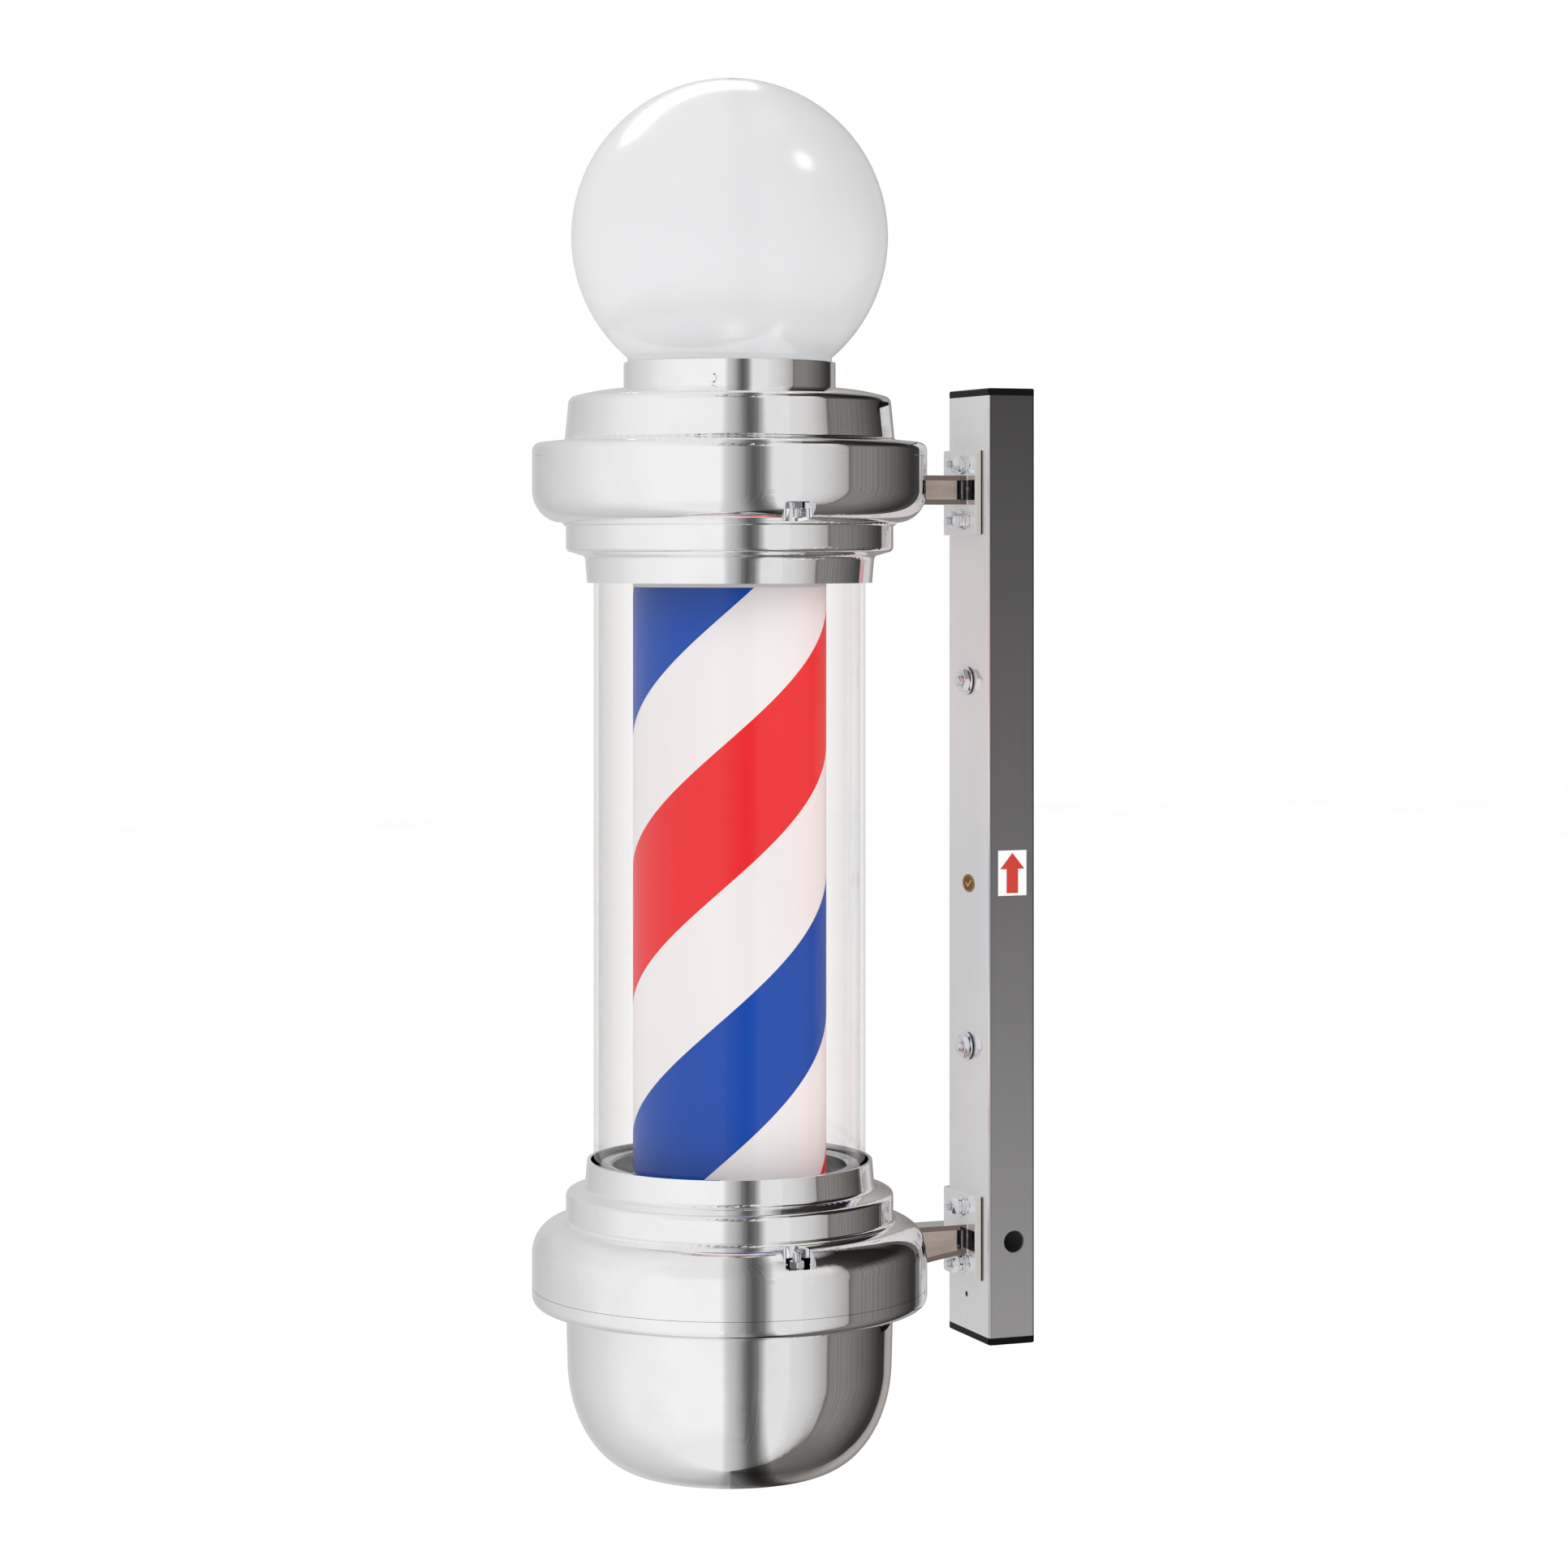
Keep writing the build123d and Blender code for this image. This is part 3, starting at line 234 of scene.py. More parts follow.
def bracket_surface(graph):
    """Plated casting: polished plate and flanges, and webs left as they came from the mould."""
    side, out, rise = graph.add("ShaderNodeSeparateXYZ", {0: graph.object_point()}).outputs
    side = graph.math("ABSOLUTE", side)
    geometry = graph.add("ShaderNodeNewGeometry")
    normal = graph.add("ShaderNodeSeparateXYZ", {0: geometry.outputs["True Normal"]})
    sideways = graph.remap(graph.math("ABSOLUTE", normal.outputs[0]), 0.6, 0.9)
    front = graph.remap(normal.outputs[1], -0.6, -0.9)
    arm = graph.remap(out, PLATE_FRONT_Y - 0.0003, PLATE_FRONT_Y - 0.0008)
    hollow = graph.remap(side, 0.0080, 0.0076)
    web = graph.math("MULTIPLY", graph.math("MULTIPLY", sideways, arm), hollow)
    rim = graph.math("MULTIPLY", arm, graph.math("SUBTRACT", 1.0, hollow))
    # painted dark reflection where the web runs into the plate, on the web and on the plate's front
    depth = graph.math("MULTIPLY", graph.remap(out, -0.0408, -0.0402), web)
    plate_zone = graph.math("MULTIPLY", graph.remap(side, 0.0064, 0.0068), graph.remap(side, 0.0196, 0.0192))
    from_arm = graph.math("ABSOLUTE", graph.math("SUBTRACT", graph.math("ABSOLUTE", rise), ARM_Z))
    near_arm = graph.remap(from_arm, 0.0062, 0.0058)
    plate_front = graph.math("MULTIPLY", front, graph.math("SUBTRACT", 1.0, arm))
    on_plate = graph.math("MULTIPLY", plate_front, plate_zone)
    corner_painted_reflection = graph.math("MULTIPLY", graph.math("ADD", depth, on_plate, clamp=True), near_arm)
    reflection_patches = graph.remap(graph.noise(420.0, detail=4.0, roughness=0.7), 0.58, 0.70)
    grain = graph.noise(260.0, (1, 0.12, 1), detail=4.0, roughness=0.6)
    stain = graph.noise(90.0, (1, 0.3, 1), detail=4.0)
    cast = graph.mix(graph.remap(stain, 0.35, 0.65), srgb(190, 176, 167), srgb(166, 151, 143))
    # painted reflection: faces that look sideways get a darker, warmer grey than the rest
    colour = graph.mix(sideways, srgb(248, 248, 248), srgb(226, 221, 215))
    # painted reflection: the sideways faces of the arm's flanges get a dark brown
    colour = graph.mix(graph.math("MULTIPLY", rim, sideways), colour, srgb(128, 113, 106))
    colour = graph.mix(web, colour, cast)
    # painted dark reflection in the corner, broken into patches
    colour = graph.mix(corner_painted_reflection, colour, graph.mix(reflection_patches, srgb(46, 46, 54), srgb(176, 178, 184)))
    # painted contact shadow: a dark line where the plate's side meets the rail
    contact_painted_shadow = graph.math("MULTIPLY", graph.remap(out, CONTACT_SHADOW_Y - 0.0003, CONTACT_SHADOW_Y), sideways)
    colour = graph.mix(contact_painted_shadow, colour, srgb(24))
    gloss = graph.math("ADD", graph.remap(web, 0.0, 1.0, 0.03, 0.12), graph.remap(grain, 0.3, 0.7, 0.0, 0.05))
    pale = graph.math("MAXIMUM", front, graph.math("MULTIPLY", sideways, graph.math("SUBTRACT", 1.0, arm)))
    # the corner with the painted dark reflection stays fully metallic
    outside_painted_reflection = graph.math("SUBTRACT", 0.5, corner_painted_reflection, clamp=True)
    metal_share = graph.math("SUBTRACT", 1.0, graph.math("MULTIPLY", pale, outside_painted_reflection))
    return principled(graph, Base_Color=colour, Metallic=metal_share, Roughness=gloss,
                      Normal=graph.bump(grain, 0.10, 0.0002))


def tube_surface(graph):
    """Clear tube as a thin pane: light goes straight through and each face mirrors a Fresnel share of it."""
    facing = graph.add("ShaderNodeLayerWeight", {"Blend": 0.5}).outputs["Facing"]
    grazing = graph.math("POWER", facing, 2.0)
    mirror = graph.math("MULTIPLY_ADD", grazing, TUBE_EDGE_MIRROR, TUBE_MIRROR, clamp=True)
    draw_lines = graph.noise(160.0, (1, 1, 0.01), detail=2.0)
    bump = graph.bump(draw_lines, 0.03, 0.0002)
    clear = graph.add("ShaderNodeBsdfTransparent", {"Color": (1.0, 0.996, 0.994, 1.0)})
    gloss = graph.add("ShaderNodeBsdfGlossy", {"Color": (1, 1, 1, 1), "Roughness": 0.0, "Normal": bump})
    return graph.add("ShaderNodeMixShader", {0: mirror, 1: clear.outputs[0], 2: gloss.outputs[0]}).outputs[0]


def stripe_surface(graph):
    """Printed film: red, white, blue and white bands in a right-handed helix, under a smooth laminate."""
    point = graph.add("ShaderNodeSeparateXYZ", {0: graph.object_point()})
    out_y = graph.math("SUBTRACT", point.outputs[1], AXIS_Y)
    angle = graph.math("ARCTAN2", out_y, point.outputs[0])
    turn = graph.math("DIVIDE", graph.math("SUBTRACT", angle, math.radians(STRIPE_MERIDIAN)), math.tau)
    rise = graph.math("DIVIDE", graph.math("SUBTRACT", point.outputs[2], STRIPE_RED_BASE), STRIPE_LEAD)
    phase = graph.math("FRACT", graph.math("SUBTRACT", rise, turn))
    band = STRIPE_COLOUR_HEIGHT / STRIPE_LEAD
    white = srgb(231, 227, 228)
    colour = graph.ramp(phase, [(0.0, srgb(226, 34, 38)), (band, white),
                                (0.5, srgb(0, 68, 164)), (0.5 + band, white)], "CONSTANT")
    # the film's overlap, a straight edge down the side away from the door
    seam_angle = math.radians(FILM_SEAM)
    seam = graph.remap(angle, seam_angle - 0.004, seam_angle + 0.004)
    paper = graph.noise(1400.0, detail=2.0)
    tone = graph.noise(7.0, (1, 1, 0.6), detail=2.0)
    shaded = graph.mix(graph.remap(tone, 0.35, 0.7, 0.0, 0.06), colour, srgb(120), "MULTIPLY")
    bump = graph.add("ShaderNodeBump", {"Height": seam, "Strength": 0.5, "Distance": 0.0003,
                                        "Normal": graph.bump(paper, 0.04, 0.0001)})
    return principled(graph, Base_Color=shaded, Roughness=0.34, Specular_IOR_Level=0.16,
                      Normal=bump.outputs[0])


def globe_surface(graph):
    """Blown opal plastic: milky body that scatters light under a smooth gloss."""
    cloud = graph.noise(6.0, detail=2.0)
    ripple = graph.noise(18.0, detail=1.0)
    milk = graph.mix(graph.remap(cloud, 0.35, 0.7), srgb(217, 217, 218), srgb(213, 213, 214))
    return principled(graph, Base_Color=milk, Roughness=0.20, Subsurface_Weight=0.25,
                      Subsurface_Radius=(0.012, 0.011, 0.010), Subsurface_Scale=1.0, IOR=1.49,
                      Normal=graph.bump(ripple, 0.04, 0.002))


def label_surface(colour):
    """Printed vinyl with a faint speckle in its ink."""
    def build(graph):
        speckle = graph.noise(2600.0, detail=2.0)
        ink = graph.mix(graph.remap(speckle, 0.55, 0.8, 0.0, 0.12), colour, srgb(255, 250, 246))
        return principled(graph, Base_Color=ink, Roughness=0.42, Normal=graph.bump(speckle, 0.05, 0.0001))
    return build


def foil_surface(graph):
    """Gold foil, browner in its pressed-in parts."""
    low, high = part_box("inspection_seal")
    out = graph.add("ShaderNodeSeparateXYZ", {0: graph.object_point()}).outputs[1]
    raised = graph.remap(out, high[1] - 0.60 * (high[1] - low[1]), high[1] - 0.85 * (high[1] - low[1]))
    grain = graph.noise(1800.0, detail=4.0)
    worn = graph.mix(graph.remap(graph.noise(420.0, detail=5.0), 0.45, 0.75), srgb(232, 190, 90),
                     srgb(206, 156, 56))
    return principled(graph, Base_Color=graph.mix(raised, srgb(120, 80, 20), worn), Metallic=1.0,
                      Roughness=graph.remap(grain, 0.3, 0.7, 0.20, 0.36),
                      Normal=graph.bump(grain, 0.12, 0.0002))


chrome = material("chrome plate", chrome_surface)
rail_steel = material("drawn rail steel", rail_surface)
bracket_chrome = material("bracket plate and arm", bracket_surface)
bright_zinc = metal("bright zinc", srgb(242, 244, 247), 0.06, 0.03, grain_scale=500.0, relief=0.04,
                    tarnish=srgb(222, 225, 231), tarnish_scale=180.0)
galvanised = metal("galvanised sheet", srgb(176, 180, 184), 0.36, 0.10, grain_scale=120.0, relief=0.05,
                   tarnish=srgb(150, 155, 160), tarnish_scale=50.0)
bronze = metal("sintered bronze", srgb(176, 128, 74), 0.40, 0.08, grain_scale=1600.0, relief=0.20)
alloy = metal("turned alloy", srgb(190, 192, 194), 0.28, 0.06, grain=(1, 1, 0.05), grain_scale=900.0,
              relief=0.08)
ground_steel = metal("ground steel", srgb(205, 205, 205), 0.18, 0.05, grain=(0.05, 0.05, 1),
                     grain_scale=2400.0, relief=0.06)
motor_zinc = metal("motor case", srgb(158, 160, 158), 0.38, 0.08, grain_scale=200.0, relief=0.06)
black_plastic = moulded("black plastic", srgb(6, 6, 7), 0.45, shade=srgb(12, 12, 13), shine=0.12)
black_rubber = moulded("black rubber", srgb(10, 10, 10), 0.62, 1500.0, 0.25, srgb(18, 18, 18), shine=0.15)
seat_metal = metal("seat metal", srgb(214, 216, 218), 0.16, 0.06, grain=(1, 1, 0.03), grain_scale=260.0,
                   relief=0.10, tarnish=srgb(170, 172, 174), tarnish_scale=40.0)
white_plastic = moulded("white drum plastic", srgb(232, 231, 230), 0.38, shade=srgb(222, 221, 220))
porcelain = moulded("glazed porcelain", srgb(238, 236, 230), 0.16, 60.0, 0.02, srgb(230, 228, 222))
lamp_white = moulded("lamp diffuser", srgb(240, 240, 238), 0.30, 400.0, 0.03, srgb(234, 234, 232))
cream_plastic = moulded("holder plastic", srgb(226, 222, 210), 0.36, shade=srgb(216, 212, 200))
driver_plastic = moulded("driver case plastic", srgb(222, 222, 222), 0.42, shade=srgb(210, 210, 211))
nylon = moulded("terminal nylon", srgb(228, 226, 216), 0.45, shade=srgb(216, 214, 204))
clear_tube = material("clear tube", tube_surface)
stripes = material("striped film", stripe_surface)
opal = material("opal plastic", globe_surface)
label_white = material("label vinyl", label_surface(srgb(248, 248, 248)))
label_red = material("label ink", label_surface(srgb(206, 44, 20)))
gold_foil = material("gold foil", foil_surface)

finishes = {
    chrome: "upper_band lower_band top_cap bowl neck_collar globe_set_screws",
    bracket_chrome: "upper_bracket lower_bracket",
    rail_steel: "wall_rail",
    bright_zinc: "housing_studs housing_nuts anchor_studs anchor_nuts anchor_washers bracket_studs "
                 "bracket_nuts bracket_washers bracket_lock_washers bracket_screws rivet_nuts "
                 "carrier_screws hub_screws "
                 "motor_screws stem_nuts lamp_stem",
    galvanised: "upper_carrier motor_plate",
    bronze: "drum_bush",
    alloy: "drive_hub",
    ground_steel: "motor_shaft",
    motor_zinc: "gear_motor",
    black_plastic: "rail_top_cap rail_bottom_cap",
    black_rubber: "tube_gaskets anchor_seals",
    seat_metal: "tube_seats",
    white_plastic: "drum_tube drum_top_cap drum_bottom_cap",
    porcelain: "bulb_holder",
    lamp_white: "drum_lamp globe_bulb",
    cream_plastic: "lamp_holder",
    driver_plastic: "led_driver",
    nylon: "terminal_block",
    clear_tube: "outer_tube",
    stripes: "stripe_film",
    opal: "globe",
    label_white: "arrow_label",
    label_red: "arrow_print",
    gold_foil: "inspection_seal",
}
for finish, names in finishes.items():
    for name in names.split():
        mesh = nodes[name].data
        mesh.materials.clear()
        mesh.materials.append(finish)


# ------------------------------------------------------------------ screws, nuts and washers
THREAD_DEPTH = 0.61                   # of the pitch
FRONT_THREAD_TURNS = 9
STUD_TIP = 0.0008                     # length of a stud's turned tip
WASHER_EDGE = 0.0003
SEAL_EDGE = 0.0004
SEAL_HOLE = 0.0040
SPRING_HOLE = 0.00302
SPRING_GAP = 0.16                     # opening of a lock washer, in radians
HOUSING_PITCH = 0.0008
HOUSING_THREAD = 0.011
HOUSING_NUT_ACROSS = 0.0080
HOUSING_NUT_HOLE = 0.0025
AROUND = 48                           # points round a small turned piece
OUTWARD = Matrix.Rotation(math.radians(90), 4, "X")     # local z away from the wall
UPWARD = Matrix.Identity(4)
DOWNWARD = Matrix.Rotation(math.radians(180), 4, "X")


def solids(name):
    """Lowest and highest corner of each separate solid of a CAD node."""
    shape = bmesh.new()
    shape.from_mesh(nodes[name].data)
    bmesh.ops.remove_doubles(shape, verts=shape.verts, dist=1e-6)
    boxes, seen = [], set()
    for start in shape.verts:
        if start in seen:
            continue
        seen.add(start)
        island, edge = [], [start]
        while edge:
            vert = edge.pop()
            island.append(vert.co.copy())
            for link in vert.link_edges:
                other = link.other_vert(vert)
                if other not in seen:
                    seen.add(other)
                    edge.append(other)
        boxes.append((Vector([min(p[i] for p in island) for i in range(3)]),
                      Vector([max(p[i] for p in island) for i in range(3)])))
    shape.free()
    return sorted(boxes, key=lambda box: (round(box[0].z, 4), round(box[0].x, 4)))


def circle_ring(radius, z, count=AROUND):
    """Ring of points; radius and z may be functions of the angle."""
    points = []
    for step in range(count):
        angle = math.tau * step / count
        r = radius(angle) if callable(radius) else radius
        height = z(angle) if callable(z) else z
        points.append((r * math.cos(angle), r * math.sin(angle), height))
    return points


def lathe(profile, count=AROUND):
    """Rings of a turned shape; profile is a list of (radius, height)."""
    return [circle_ring(radius, height, count) for radius, height in profile]


def washer_rings(outer, inner, height, round_off):
    return lathe([(inner, 0), (outer - round_off, 0), (outer, round_off), (outer, height - round_off),
                  (outer - round_off, height), (inner + round_off, height), (inner, height - round_off)])


def nut_rings(across, hole, height, turn=0.0):
    """Hexagon nut whose corners are turned away at both ends."""
    flat = across / 2

    def corner(angle):
        return flat / math.cos((angle - turn + math.pi / 6) % (math.pi / 3) - math.pi / 6)

    def fall(angle):
        return (corner(angle) - 0.96 * flat) * math.tan(math.radians(30))

    count = 3 * AROUND
    return [circle_ring(hole, 0.06 * height, count), circle_ring(hole * 1.1, 0, count),
            circle_ring(0.96 * flat, 0, count), circle_ring(corner, fall, count),
            circle_ring(corner, lambda angle: height - fall(angle), count),
            circle_ring(0.96 * flat, height, count), circle_ring(hole * 1.1, height, count),
            circle_ring(hole, 0.94 * height, count)]


def thread_rings(radius, pitch, length, threaded, tip):
    """Stud from height 0 to length, with a helical thread on its last part and a turned tip."""
    depth = THREAD_DEPTH * pitch
    rings = [circle_ring(radius - depth / 2, 0), circle_ring(radius - depth / 2, length - threaded)]
    steps = int(threaded / pitch * 8)
    for step in range(steps + 1):
        z = length - threaded + threaded * step / steps
        room = radius - max(0.0, tip - (length - z)) * 0.8

        def flank(angle, z=z, room=room):
            phase = (z / pitch - angle / math.tau) % 1.0
            crest = min(1.0, 2.4 * min(phase, 1.0 - phase))
            return min(radius - depth * (1.0 - crest), room)
        rings.append(circle_ring(flank, z))
    return rings


def spring_rings(outer, inner, height, gap):
    """Split lock washer: its ends are cut on the slant and stand a little apart."""
    section = [(inner, 0.0), (outer, 0.0), (outer, height), (inner, height)]
    rings = []
    for step in range(AROUND + 1):
        share = step / AROUND
        angle = gap / 2 + (math.tau - gap) * share
        lift = (share - 0.5) * 0.25 * height
        rings.append([(r * math.cos(angle), r * math.sin(angle), min(max(z + lift, 0.0), height))
                      for r, z in section])
    return rings


def make_piece(name, parts, finish, body, replaced=(), sharp=35.0):
    """One object from (rings, matrix, join) parts.

    join is 'tube' for an open hole, 'rod' to cap both ends and 'bar' for a section swept along a line.
    """
    shape = bmesh.new()
    for rings, matrix, join in parts:
        rows = [[shape.verts.new(matrix @ Vector(point)) for point in ring] for ring in rings]
        pairs = list(zip(rows, rows[1:]))
        if join == "tube":
            pairs.append((rows[-1], rows[0]))
        for low, high in pairs:
            for i in range(len(low)):
                j = (i + 1) % len(low)
                shape.faces.new((low[i], low[j], high[j], high[i]))
        if join != "tube":
            shape.faces.new(list(reversed(rows[0])))
            shape.faces.new(rows[-1])
    bmesh.ops.recalc_face_normals(shape, faces=shape.faces)
    mesh = bpy.data.meshes.new(name)
    shape.to_mesh(mesh)
    shape.free()
    for polygon in mesh.polygons:
        polygon.use_smooth = True
    mesh.set_sharp_from_angle(angle=math.radians(sharp))
    mesh.materials.append(finish)
    made = bpy.data.objects.new(name, mesh)
    bpy.context.scene.collection.objects.link(made)
    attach(made, body)
    if replaced:
        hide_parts(*replaced)
    return made


def facing_room(name):
    """Place, thickness and radius of each solid of a node whose axis is square to the wall."""
    for low, high in solids(name):
        middle = (low + high) / 2
        place = Matrix.Translation((middle.x, high.y, middle.z)) @ OUTWARD
        yield place, high.y - low.y, (high.z - low.z) / 2


def fit_front_hardware():
    """Bolts of the brackets and anchors of the rail, with real threads and turned edges."""
    hexagon_turn = math.radians(20)
    for prefix, thread, pitch, across in (("bracket", 0.0060, 0.0010, 0.0100),
                                          ("anchor", 0.0080, 0.00125, 0.0130)):
        threaded = FRONT_THREAD_TURNS * pitch
        studs = [(thread_rings(thread / 2, pitch, length, threaded, STUD_TIP), place, "rod")
                 for place, length, _ in facing_room(prefix + "_studs")]
        make_piece(prefix + "_threaded_studs", studs, bright_zinc, "frame", [prefix + "_studs"])
        nuts = [(nut_rings(across, thread / 2, height, hexagon_turn + 0.35 * index), place, "tube")
                for index, (place, height, _) in enumerate(facing_room(prefix + "_nuts"))]
        make_piece(prefix + "_hexagon_nuts", nuts, bright_zinc, "frame", [prefix + "_nuts"])
        washers = [(washer_rings(radius, thread / 2, height, WASHER_EDGE), place, "tube")
                   for place, height, radius in facing_room(prefix + "_washers")]
        make_piece(prefix + "_plain_washers", washers, bright_zinc, "frame", [prefix + "_washers"])
    springs = [(spring_rings(radius, SPRING_HOLE, height, SPRING_GAP),
                place @ Matrix.Rotation(0.9 * index, 4, "Z"), "bar")
               for index, (place, height, radius) in enumerate(facing_room("bracket_lock_washers"))]
    make_piece("bracket_spring_washers", springs, bright_zinc, "frame", ["bracket_lock_washers"])
    seals = [(washer_rings(radius, SEAL_HOLE, height, SEAL_EDGE), place, "tube")
             for place, height, radius in facing_room("anchor_seals")]
    make_piece("anchor_rubber_seals", seals, black_rubber, "frame", ["anchor_seals"])


def fit_housing_hardware():
    """Stud ends and nuts in the pockets of the two housings."""
    studs, nuts = [], []
    for low, high in solids("housing_studs"):
        upper = low.z > 0
        start = high.z if upper else low.z
        place = Matrix.Translation(((low.x + high.x) / 2, (low.y + high.y) / 2, start))
        place = place @ (DOWNWARD if upper else UPWARD)
        rings = thread_rings((high.x - low.x) / 2, HOUSING_PITCH, high.z - low.z, HOUSING_THREAD, STUD_TIP)
        studs.append((rings, place, "rod"))
    for low, high in solids("housing_nuts"):
        upper = low.z > 0
        place = Matrix.Translation(((low.x + high.x) / 2, (low.y + high.y) / 2, high.z if upper else low.z))
        place = place @ (DOWNWARD if upper else UPWARD)
        nuts.append((nut_rings(HOUSING_NUT_ACROSS, HOUSING_NUT_HOLE, high.z - low.z, 0.2), place, "tube"))
    make_piece("housing_threaded_studs", studs, bright_zinc, "frame", ["housing_studs"])
    make_piece("housing_hexagon_nuts", nuts, bright_zinc, "frame", ["housing_nuts"])


def emboss_seal():
    """Foil seal with a raised rim, a ring of beads and a plain tick."""
    low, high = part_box("inspection_seal")
    centre = [(low[i] + high[i]) / 2 for i in range(3)]
    half_wide, half_high = (high[0] - low[0]) / 2, (high[2] - low[2]) / 2
    thick = high[1] - low[1]
    steps, count = 44, 120
    tick = [(-0.38, 0.02), (-0.10, -0.34), (0.42, 0.36)]

    def off_tick(u, v):
        best = 9.0
        for (ax, ay), (bx, by) in zip(tick, tick[1:]):
            share = ((u - ax) * (bx - ax) + (v - ay) * (by - ay)) / ((bx - ax) ** 2 + (by - ay) ** 2)
            share = min(max(share, 0.0), 1.0)
            best = min(best, math.hypot(u - ax - share * (bx - ax), v - ay - share * (by - ay)))
        return best

    def height(share, angle):
        u, v = share * math.cos(angle), share * math.sin(angle)
        rim = math.exp(-((share - 0.93) / 0.035) ** 2)
        beads = math.exp(-((share - 0.78) / 0.05) ** 2) * (0.5 + 0.5 * math.cos(30 * angle))
        mark = 1.0 if off_tick(u, v) < 0.085 else 0.0
        return thick * (0.55 + 0.45 * max(rim, 0.8 * beads, 0.9 * mark)) * min(1.0, (1.0 - share) * 40 + 0.2)

    rings = [[(half_wide * math.cos(math.tau * i / count), half_high * math.sin(math.tau * i / count), 0.0)
              for i in range(count)]]
    for step in range(steps, 0, -1):
        share = step / steps
        rings.append([(half_wide * share * math.cos(math.tau * i / count),
                       half_high * share * math.sin(math.tau * i / count),
                       height(share, math.tau * i / count)) for i in range(count)])
    place = Matrix.Translation((centre[0], high[1], centre[2])) @ OUTWARD
    make_piece("foil_seal", [(rings, place, "rod")], gold_foil, "frame",
               ["inspection_seal"], 60.0)


fit_front_hardware()
fit_housing_hardware()
emboss_seal()


# ------------------------------------------------------------------ stage
def light_world():
    """Plain white surroundings; polished surfaces see a room with a dark doorway and a darker right side."""
    world = bpy.data.worlds.new("studio")
    bpy.context.scene.world = world
    world.use_nodes = True
    graph = Graph(world.node_tree)
    direction = graph.add("ShaderNodeTexCoord").outputs["Generated"]
    split = graph.add("ShaderNodeSeparateXYZ", {0: direction})
    east, north, up = split.outputs[0], split.outputs[1], split.outputs[2]
    bearing = graph.math("ARCTAN2", east, graph.math("MULTIPLY", north, -1.0))
    turned = graph.math("SUBTRACT", graph.math("DIVIDE", bearing, math.tau), VIEW_AZIMUTH / 360 - 0.5)
    around = graph.math("FRACT", turned)

    # brightness seen in the plating, by bearing in degrees to the right of the camera
    def surroundings(levels, warm=1.0):
        """Ramp round the room; its dark side, right of the camera, is a little warm."""
        stops = []
        for degrees, level in levels:
            tint = warm if 60 < degrees < 175 else 1.0
            stops.append(((degrees + 180) / 360, srgb(level, level * tint, level * tint * tint)))
        return graph.ramp(around, stops)

    room = surroundings([(-180, 205), (-160, 204), (-150, 196), (-140, 200), (-120, 210), (-100, 221),
                         (-80, 236), (-60, 240), (-40, 244), (-6, 243), (0, 236), (26, 225), (40, 226),
                         (60, 200), (72, 166), (73.5, 92), (75, 128), (90, 126), (110, 100), (122, 76),
                         (131, 56), (141, 52), (145, 160), (156, 172), (170, 134), (180, 160)], 0.975)
    high_room = surroundings([(-180, 205), (-120, 214), (-60, 240), (0, 230), (30, 230), (62, 222), (70, 176),
                              (74, 66), (92, 42), (120, 28), (138, 40), (146, 140), (165, 168),
                              (180, 205)], 0.97)
    crown_room = surroundings([(-180, 205), (-60, 238), (0, 228), (30, 222), (42, 200), (50, 112), (62, 62),
                               (92, 42), (125, 30), (146, 140), (165, 170), (180, 205)], 0.96)
    low_room = surroundings([(-180, 160), (-150, 196), (-100, 214), (-60, 236), (20, 234), (48, 226),
                             (62, 200), (67, 168), (70, 112), (95, 108), (130, 88), (165, 112),
                             (180, 140)], 0.97)
    seen = graph.mix(graph.remap(up, 0.10, 0.42, smooth=True), room, high_room)
    seen = graph.mix(graph.remap(up, 0.46, 0.66, smooth=True), seen, crown_room)
    seen = graph.mix(graph.remap(up, 0.82, 0.96, smooth=True), seen, srgb(230))
    seen = graph.mix(graph.remap(up, -0.55, -0.86, smooth=True), seen, low_room)

    # tall opening behind the camera, darkest near its right-hand edge
    opening = [(-180, 1.0), (-5, 1.0), (-2.5, 0.88), (0, 0.83), (4, 0.77), (8, 0.63), (11, 0.46), (14, 0.39),
               (17, 0.44), (20, 0.60), (23, 0.84), (25, 1.0)]
    # its place follows the half-way direction between view and reflection, so its image stays upright
    sight = math.radians(VIEW_AZIMUTH)
    ahead = graph.add("ShaderNodeVectorMath", {0: direction, 1: (math.sin(sight), -math.cos(sight), 0)},
                      operation="DOT_PRODUCT").outputs["Value"]
    across = graph.add("ShaderNodeVectorMath", {0: direction, 1: (math.cos(sight), math.sin(sight), 0)},
                       operation="DOT_PRODUCT").outputs["Value"]
    nearer = graph.math("ADD", ahead, 1.0)
    turn_above = graph.math("MULTIPLY", graph.math("ARCTAN2", across, nearer), 2.0)
    half = graph.math("DIVIDE", across, graph.math("SQRT", graph.math("MULTIPLY", nearer, 2.0)))
    turn_below = graph.math("MULTIPLY", graph.math("ARCSINE", half), 2.0)
    below = graph.remap(up, -0.05, -0.30)
    turn = graph.math("ADD", graph.math("MULTIPLY", turn_above, graph.math("SUBTRACT", 1.0, below)),
                      graph.math("MULTIPLY", turn_below, below))
    place = graph.math("ADD", graph.math("DIVIDE", turn, math.tau), 0.5)
    shade = graph.ramp(place, [((degrees + 180) / 360, srgb(255 * level)) for degrees, level in opening])
    seen = graph.mix(1.0, seen, shade, "MULTIPLY")

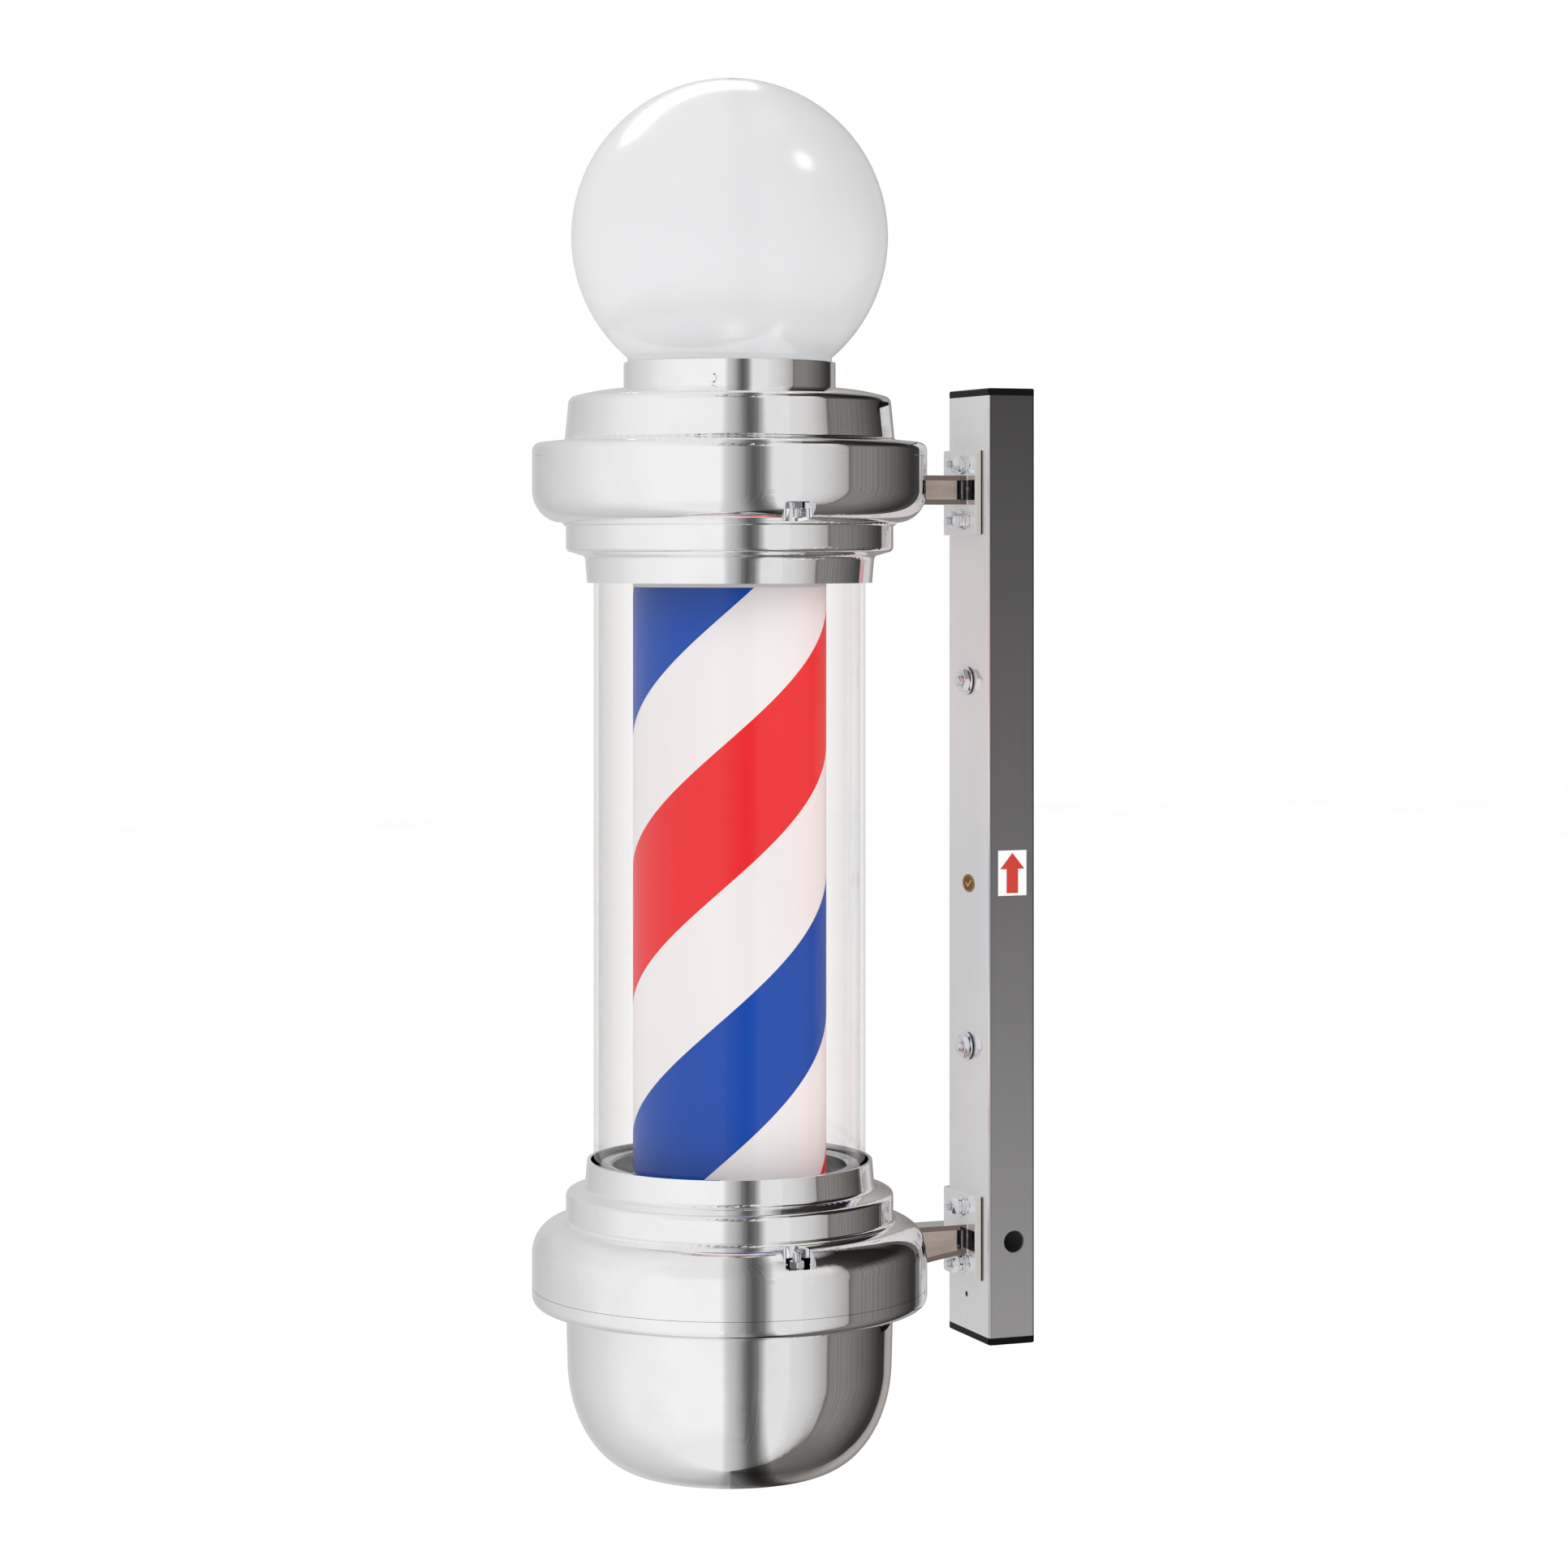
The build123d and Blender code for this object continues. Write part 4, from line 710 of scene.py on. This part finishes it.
    # upright grain of the panelling on the dark side
    grain = graph.add("ShaderNodeTexNoise", {"W": bearing, "Scale": 46.0, "Detail": 4.0, "Roughness": 0.7},
                      noise_dimensions="1D").outputs[0]
    streaks = graph.remap(grain, 0.30, 0.70, 0.70, 1.30)
    dark = graph.remap(seen, 0.34, 0.20)
    factor = graph.math("MULTIPLY_ADD", graph.math("SUBTRACT", streaks, 1.0), dark, 1.0)
    grained = graph.add("ShaderNodeCombineColor", {0: factor, 1: factor, 2: factor}).outputs[0]
    seen = graph.mix(1.0, seen, grained, "MULTIPLY")

    # softer light on the right of the pole than on its left
    level = graph.remap(across, -0.6, 1.0, 1.02, 0.80)
    soft = graph.add("ShaderNodeCombineColor", {0: level, 1: level, 2: level}).outputs[0]
    path = graph.add("ShaderNodeLightPath")
    plain = graph.mix(path.outputs["Is Camera Ray"], soft, (1.0, 1.0, 1.0, 1.0))
    shown = graph.mix(path.outputs["Is Glossy Ray"], plain, seen)
    back = graph.add("ShaderNodeBackground", {"Color": shown, "Strength": 1.0})
    graph.add("ShaderNodeOutputWorld", {"Surface": back.outputs[0]})


def place_camera():
    data = bpy.data.cameras.new("camera")
    data.lens = VIEW_LENS
    data.sensor_width = 36.0
    data.shift_x, data.shift_y = VIEW_SHIFT
    data.clip_end = 50.0
    camera = bpy.data.objects.new("camera", data)
    bpy.context.scene.collection.objects.link(camera)
    bearing = math.radians(VIEW_AZIMUTH)
    camera.location = (VIEW_DISTANCE * math.sin(bearing), AXIS_Y - VIEW_DISTANCE * math.cos(bearing),
                       VIEW_HEIGHT)
    camera.rotation_euler = (math.radians(90), 0, bearing)
    bpy.context.scene.camera = camera


def area_light(name, bearing_deg, elevation_deg, distance, size, power, warmth=(1, 1, 1)):
    """Soft box aimed at the middle of the pole; polished surfaces see the world instead of it."""
    data = bpy.data.lights.new(name, "AREA")
    data.shape = "DISK"
    data.size = size
    data.energy = power
    data.color = warmth
    lamp = bpy.data.objects.new(name, data)
    bpy.context.scene.collection.objects.link(lamp)
    bearing = math.radians(VIEW_AZIMUTH + bearing_deg)
    elevation = math.radians(elevation_deg)
    flat = math.cos(elevation)
    target = Vector((0, AXIS_Y, AIM_Z))
    offset = Vector((flat * math.sin(bearing), -flat * math.cos(bearing), math.sin(elevation)))
    lamp.location = target + offset * distance
    lamp.rotation_euler = offset.to_track_quat("Z", "Y").to_euler()
    lamp.visible_glossy = False
    lamp.visible_camera = False


def link_lamp(lamp, names):
    """Let a lamp reach only the named nodes, past the other pieces."""
    only = bpy.data.collections.new(lamp.name + " receivers")
    for name in names:
        only.objects.link(nodes[name])
    lamp.light_linking.receiver_collection = only
    # holds one piece that stands clear of the lamps, because an empty collection may not turn shadows off
    blockers = bpy.data.collections.new(lamp.name + " blockers")
    blockers.objects.link(nodes["rail_bottom_cap"])
    lamp.light_linking.blocker_collection = blockers


def glow_lamp(name, bearing_deg, elevation_deg, target, distance, size, power, names, tint=(1, 1, 1)):
    """Soft lamp round a target of its own, for the named nodes only."""
    area_light(name, bearing_deg, elevation_deg, distance, size, power, tint)
    lamp = bpy.data.objects[name]
    lamp.location += target - Vector((0, AXIS_Y, AIM_Z))
    link_lamp(lamp, names)


def globe_lamp(name, bearing_deg, elevation_deg, size, power, height=None):
    """Lamp whose soft image only the globe shows; a height makes it a rectangle."""
    area_light(name, bearing_deg, elevation_deg, GLOBE_LAMP_DISTANCE, size, power)
    lamp = bpy.data.objects[name]
    lamp.location += Vector((0, 0, GLOBE_Z - AIM_Z))
    if height is not None:
        lamp.data.shape = "RECTANGLE"
        lamp.data.size_y = height
    lamp.visible_glossy = True
    lamp.visible_diffuse = False
    # the housings below the globe would hide the lamps near the table from the globe's mirrored rays
    lamp.data.cycles.use_multiple_importance_sampling = elevation_deg > 0
    link_lamp(lamp, ["globe"])


def floor_surface(graph):
    speck = graph.noise(3.0, detail=2.0)
    tone = graph.mix(graph.remap(speck, 0.3, 0.7), srgb(252), srgb(249))
    return principled(graph, Base_Color=tone, Roughness=0.9, Emission_Color=(1, 1, 1, 1),
                      Emission_Strength=0.12)


def lay_floor():
    size = 14.0
    mesh = bpy.data.meshes.new("floor")
    corners = [(-size, -size, FLOOR_Z), (size, -size, FLOOR_Z), (size, size, FLOOR_Z), (-size, size, FLOOR_Z)]
    mesh.from_pydata(corners, [], [(0, 1, 2, 3)])
    mesh.materials.append(material("pale floor", floor_surface))
    floor = bpy.data.objects.new("floor", mesh)
    bpy.context.scene.collection.objects.link(floor)
    floor.visible_glossy = False


bpy.context.scene.view_settings.view_transform = "Standard"
bpy.context.scene.view_settings.look = "None"
light_world()
place_camera()
area_light("key", -45, 40, 2.2, 1.2, 9.0)
area_light("fill", 60, 25, 2.2, 1.2, 4.0)
globe_lamp("window lamp", -156, 45, 2.2, 34.0, 0.55)
globe_lamp("side lamp", 73, 44, 0.5, 7.0)
globe_lamp("table gleam", 10, -74, 0.6, 2.8)
globe_lamp("table glint", 78, -62, 0.35, 1.5)
glow_lamp("globe underglow", 0, -80, Vector((0, AXIS_Y, 0.34)), 0.6, 0.5, 2.1, ["globe"])
drum_parts = ["drum_tube", "stripe_film"]
glow_lamp("upper cove", 25, 0, Vector((0, AXIS_Y, 0.16)), 0.22, 0.08, 0.045, drum_parts)
glow_lamp("lower cove", 25, 0, Vector((0, AXIS_Y, -0.16)), 0.22, 0.08, 0.035, drum_parts)
glow_lamp("door glow", 112, 0, Vector((0, AXIS_Y, 0.0)), 0.60, 0.40, 1.0, drum_parts, (1.0, 0.46, 0.30))
lay_floor()
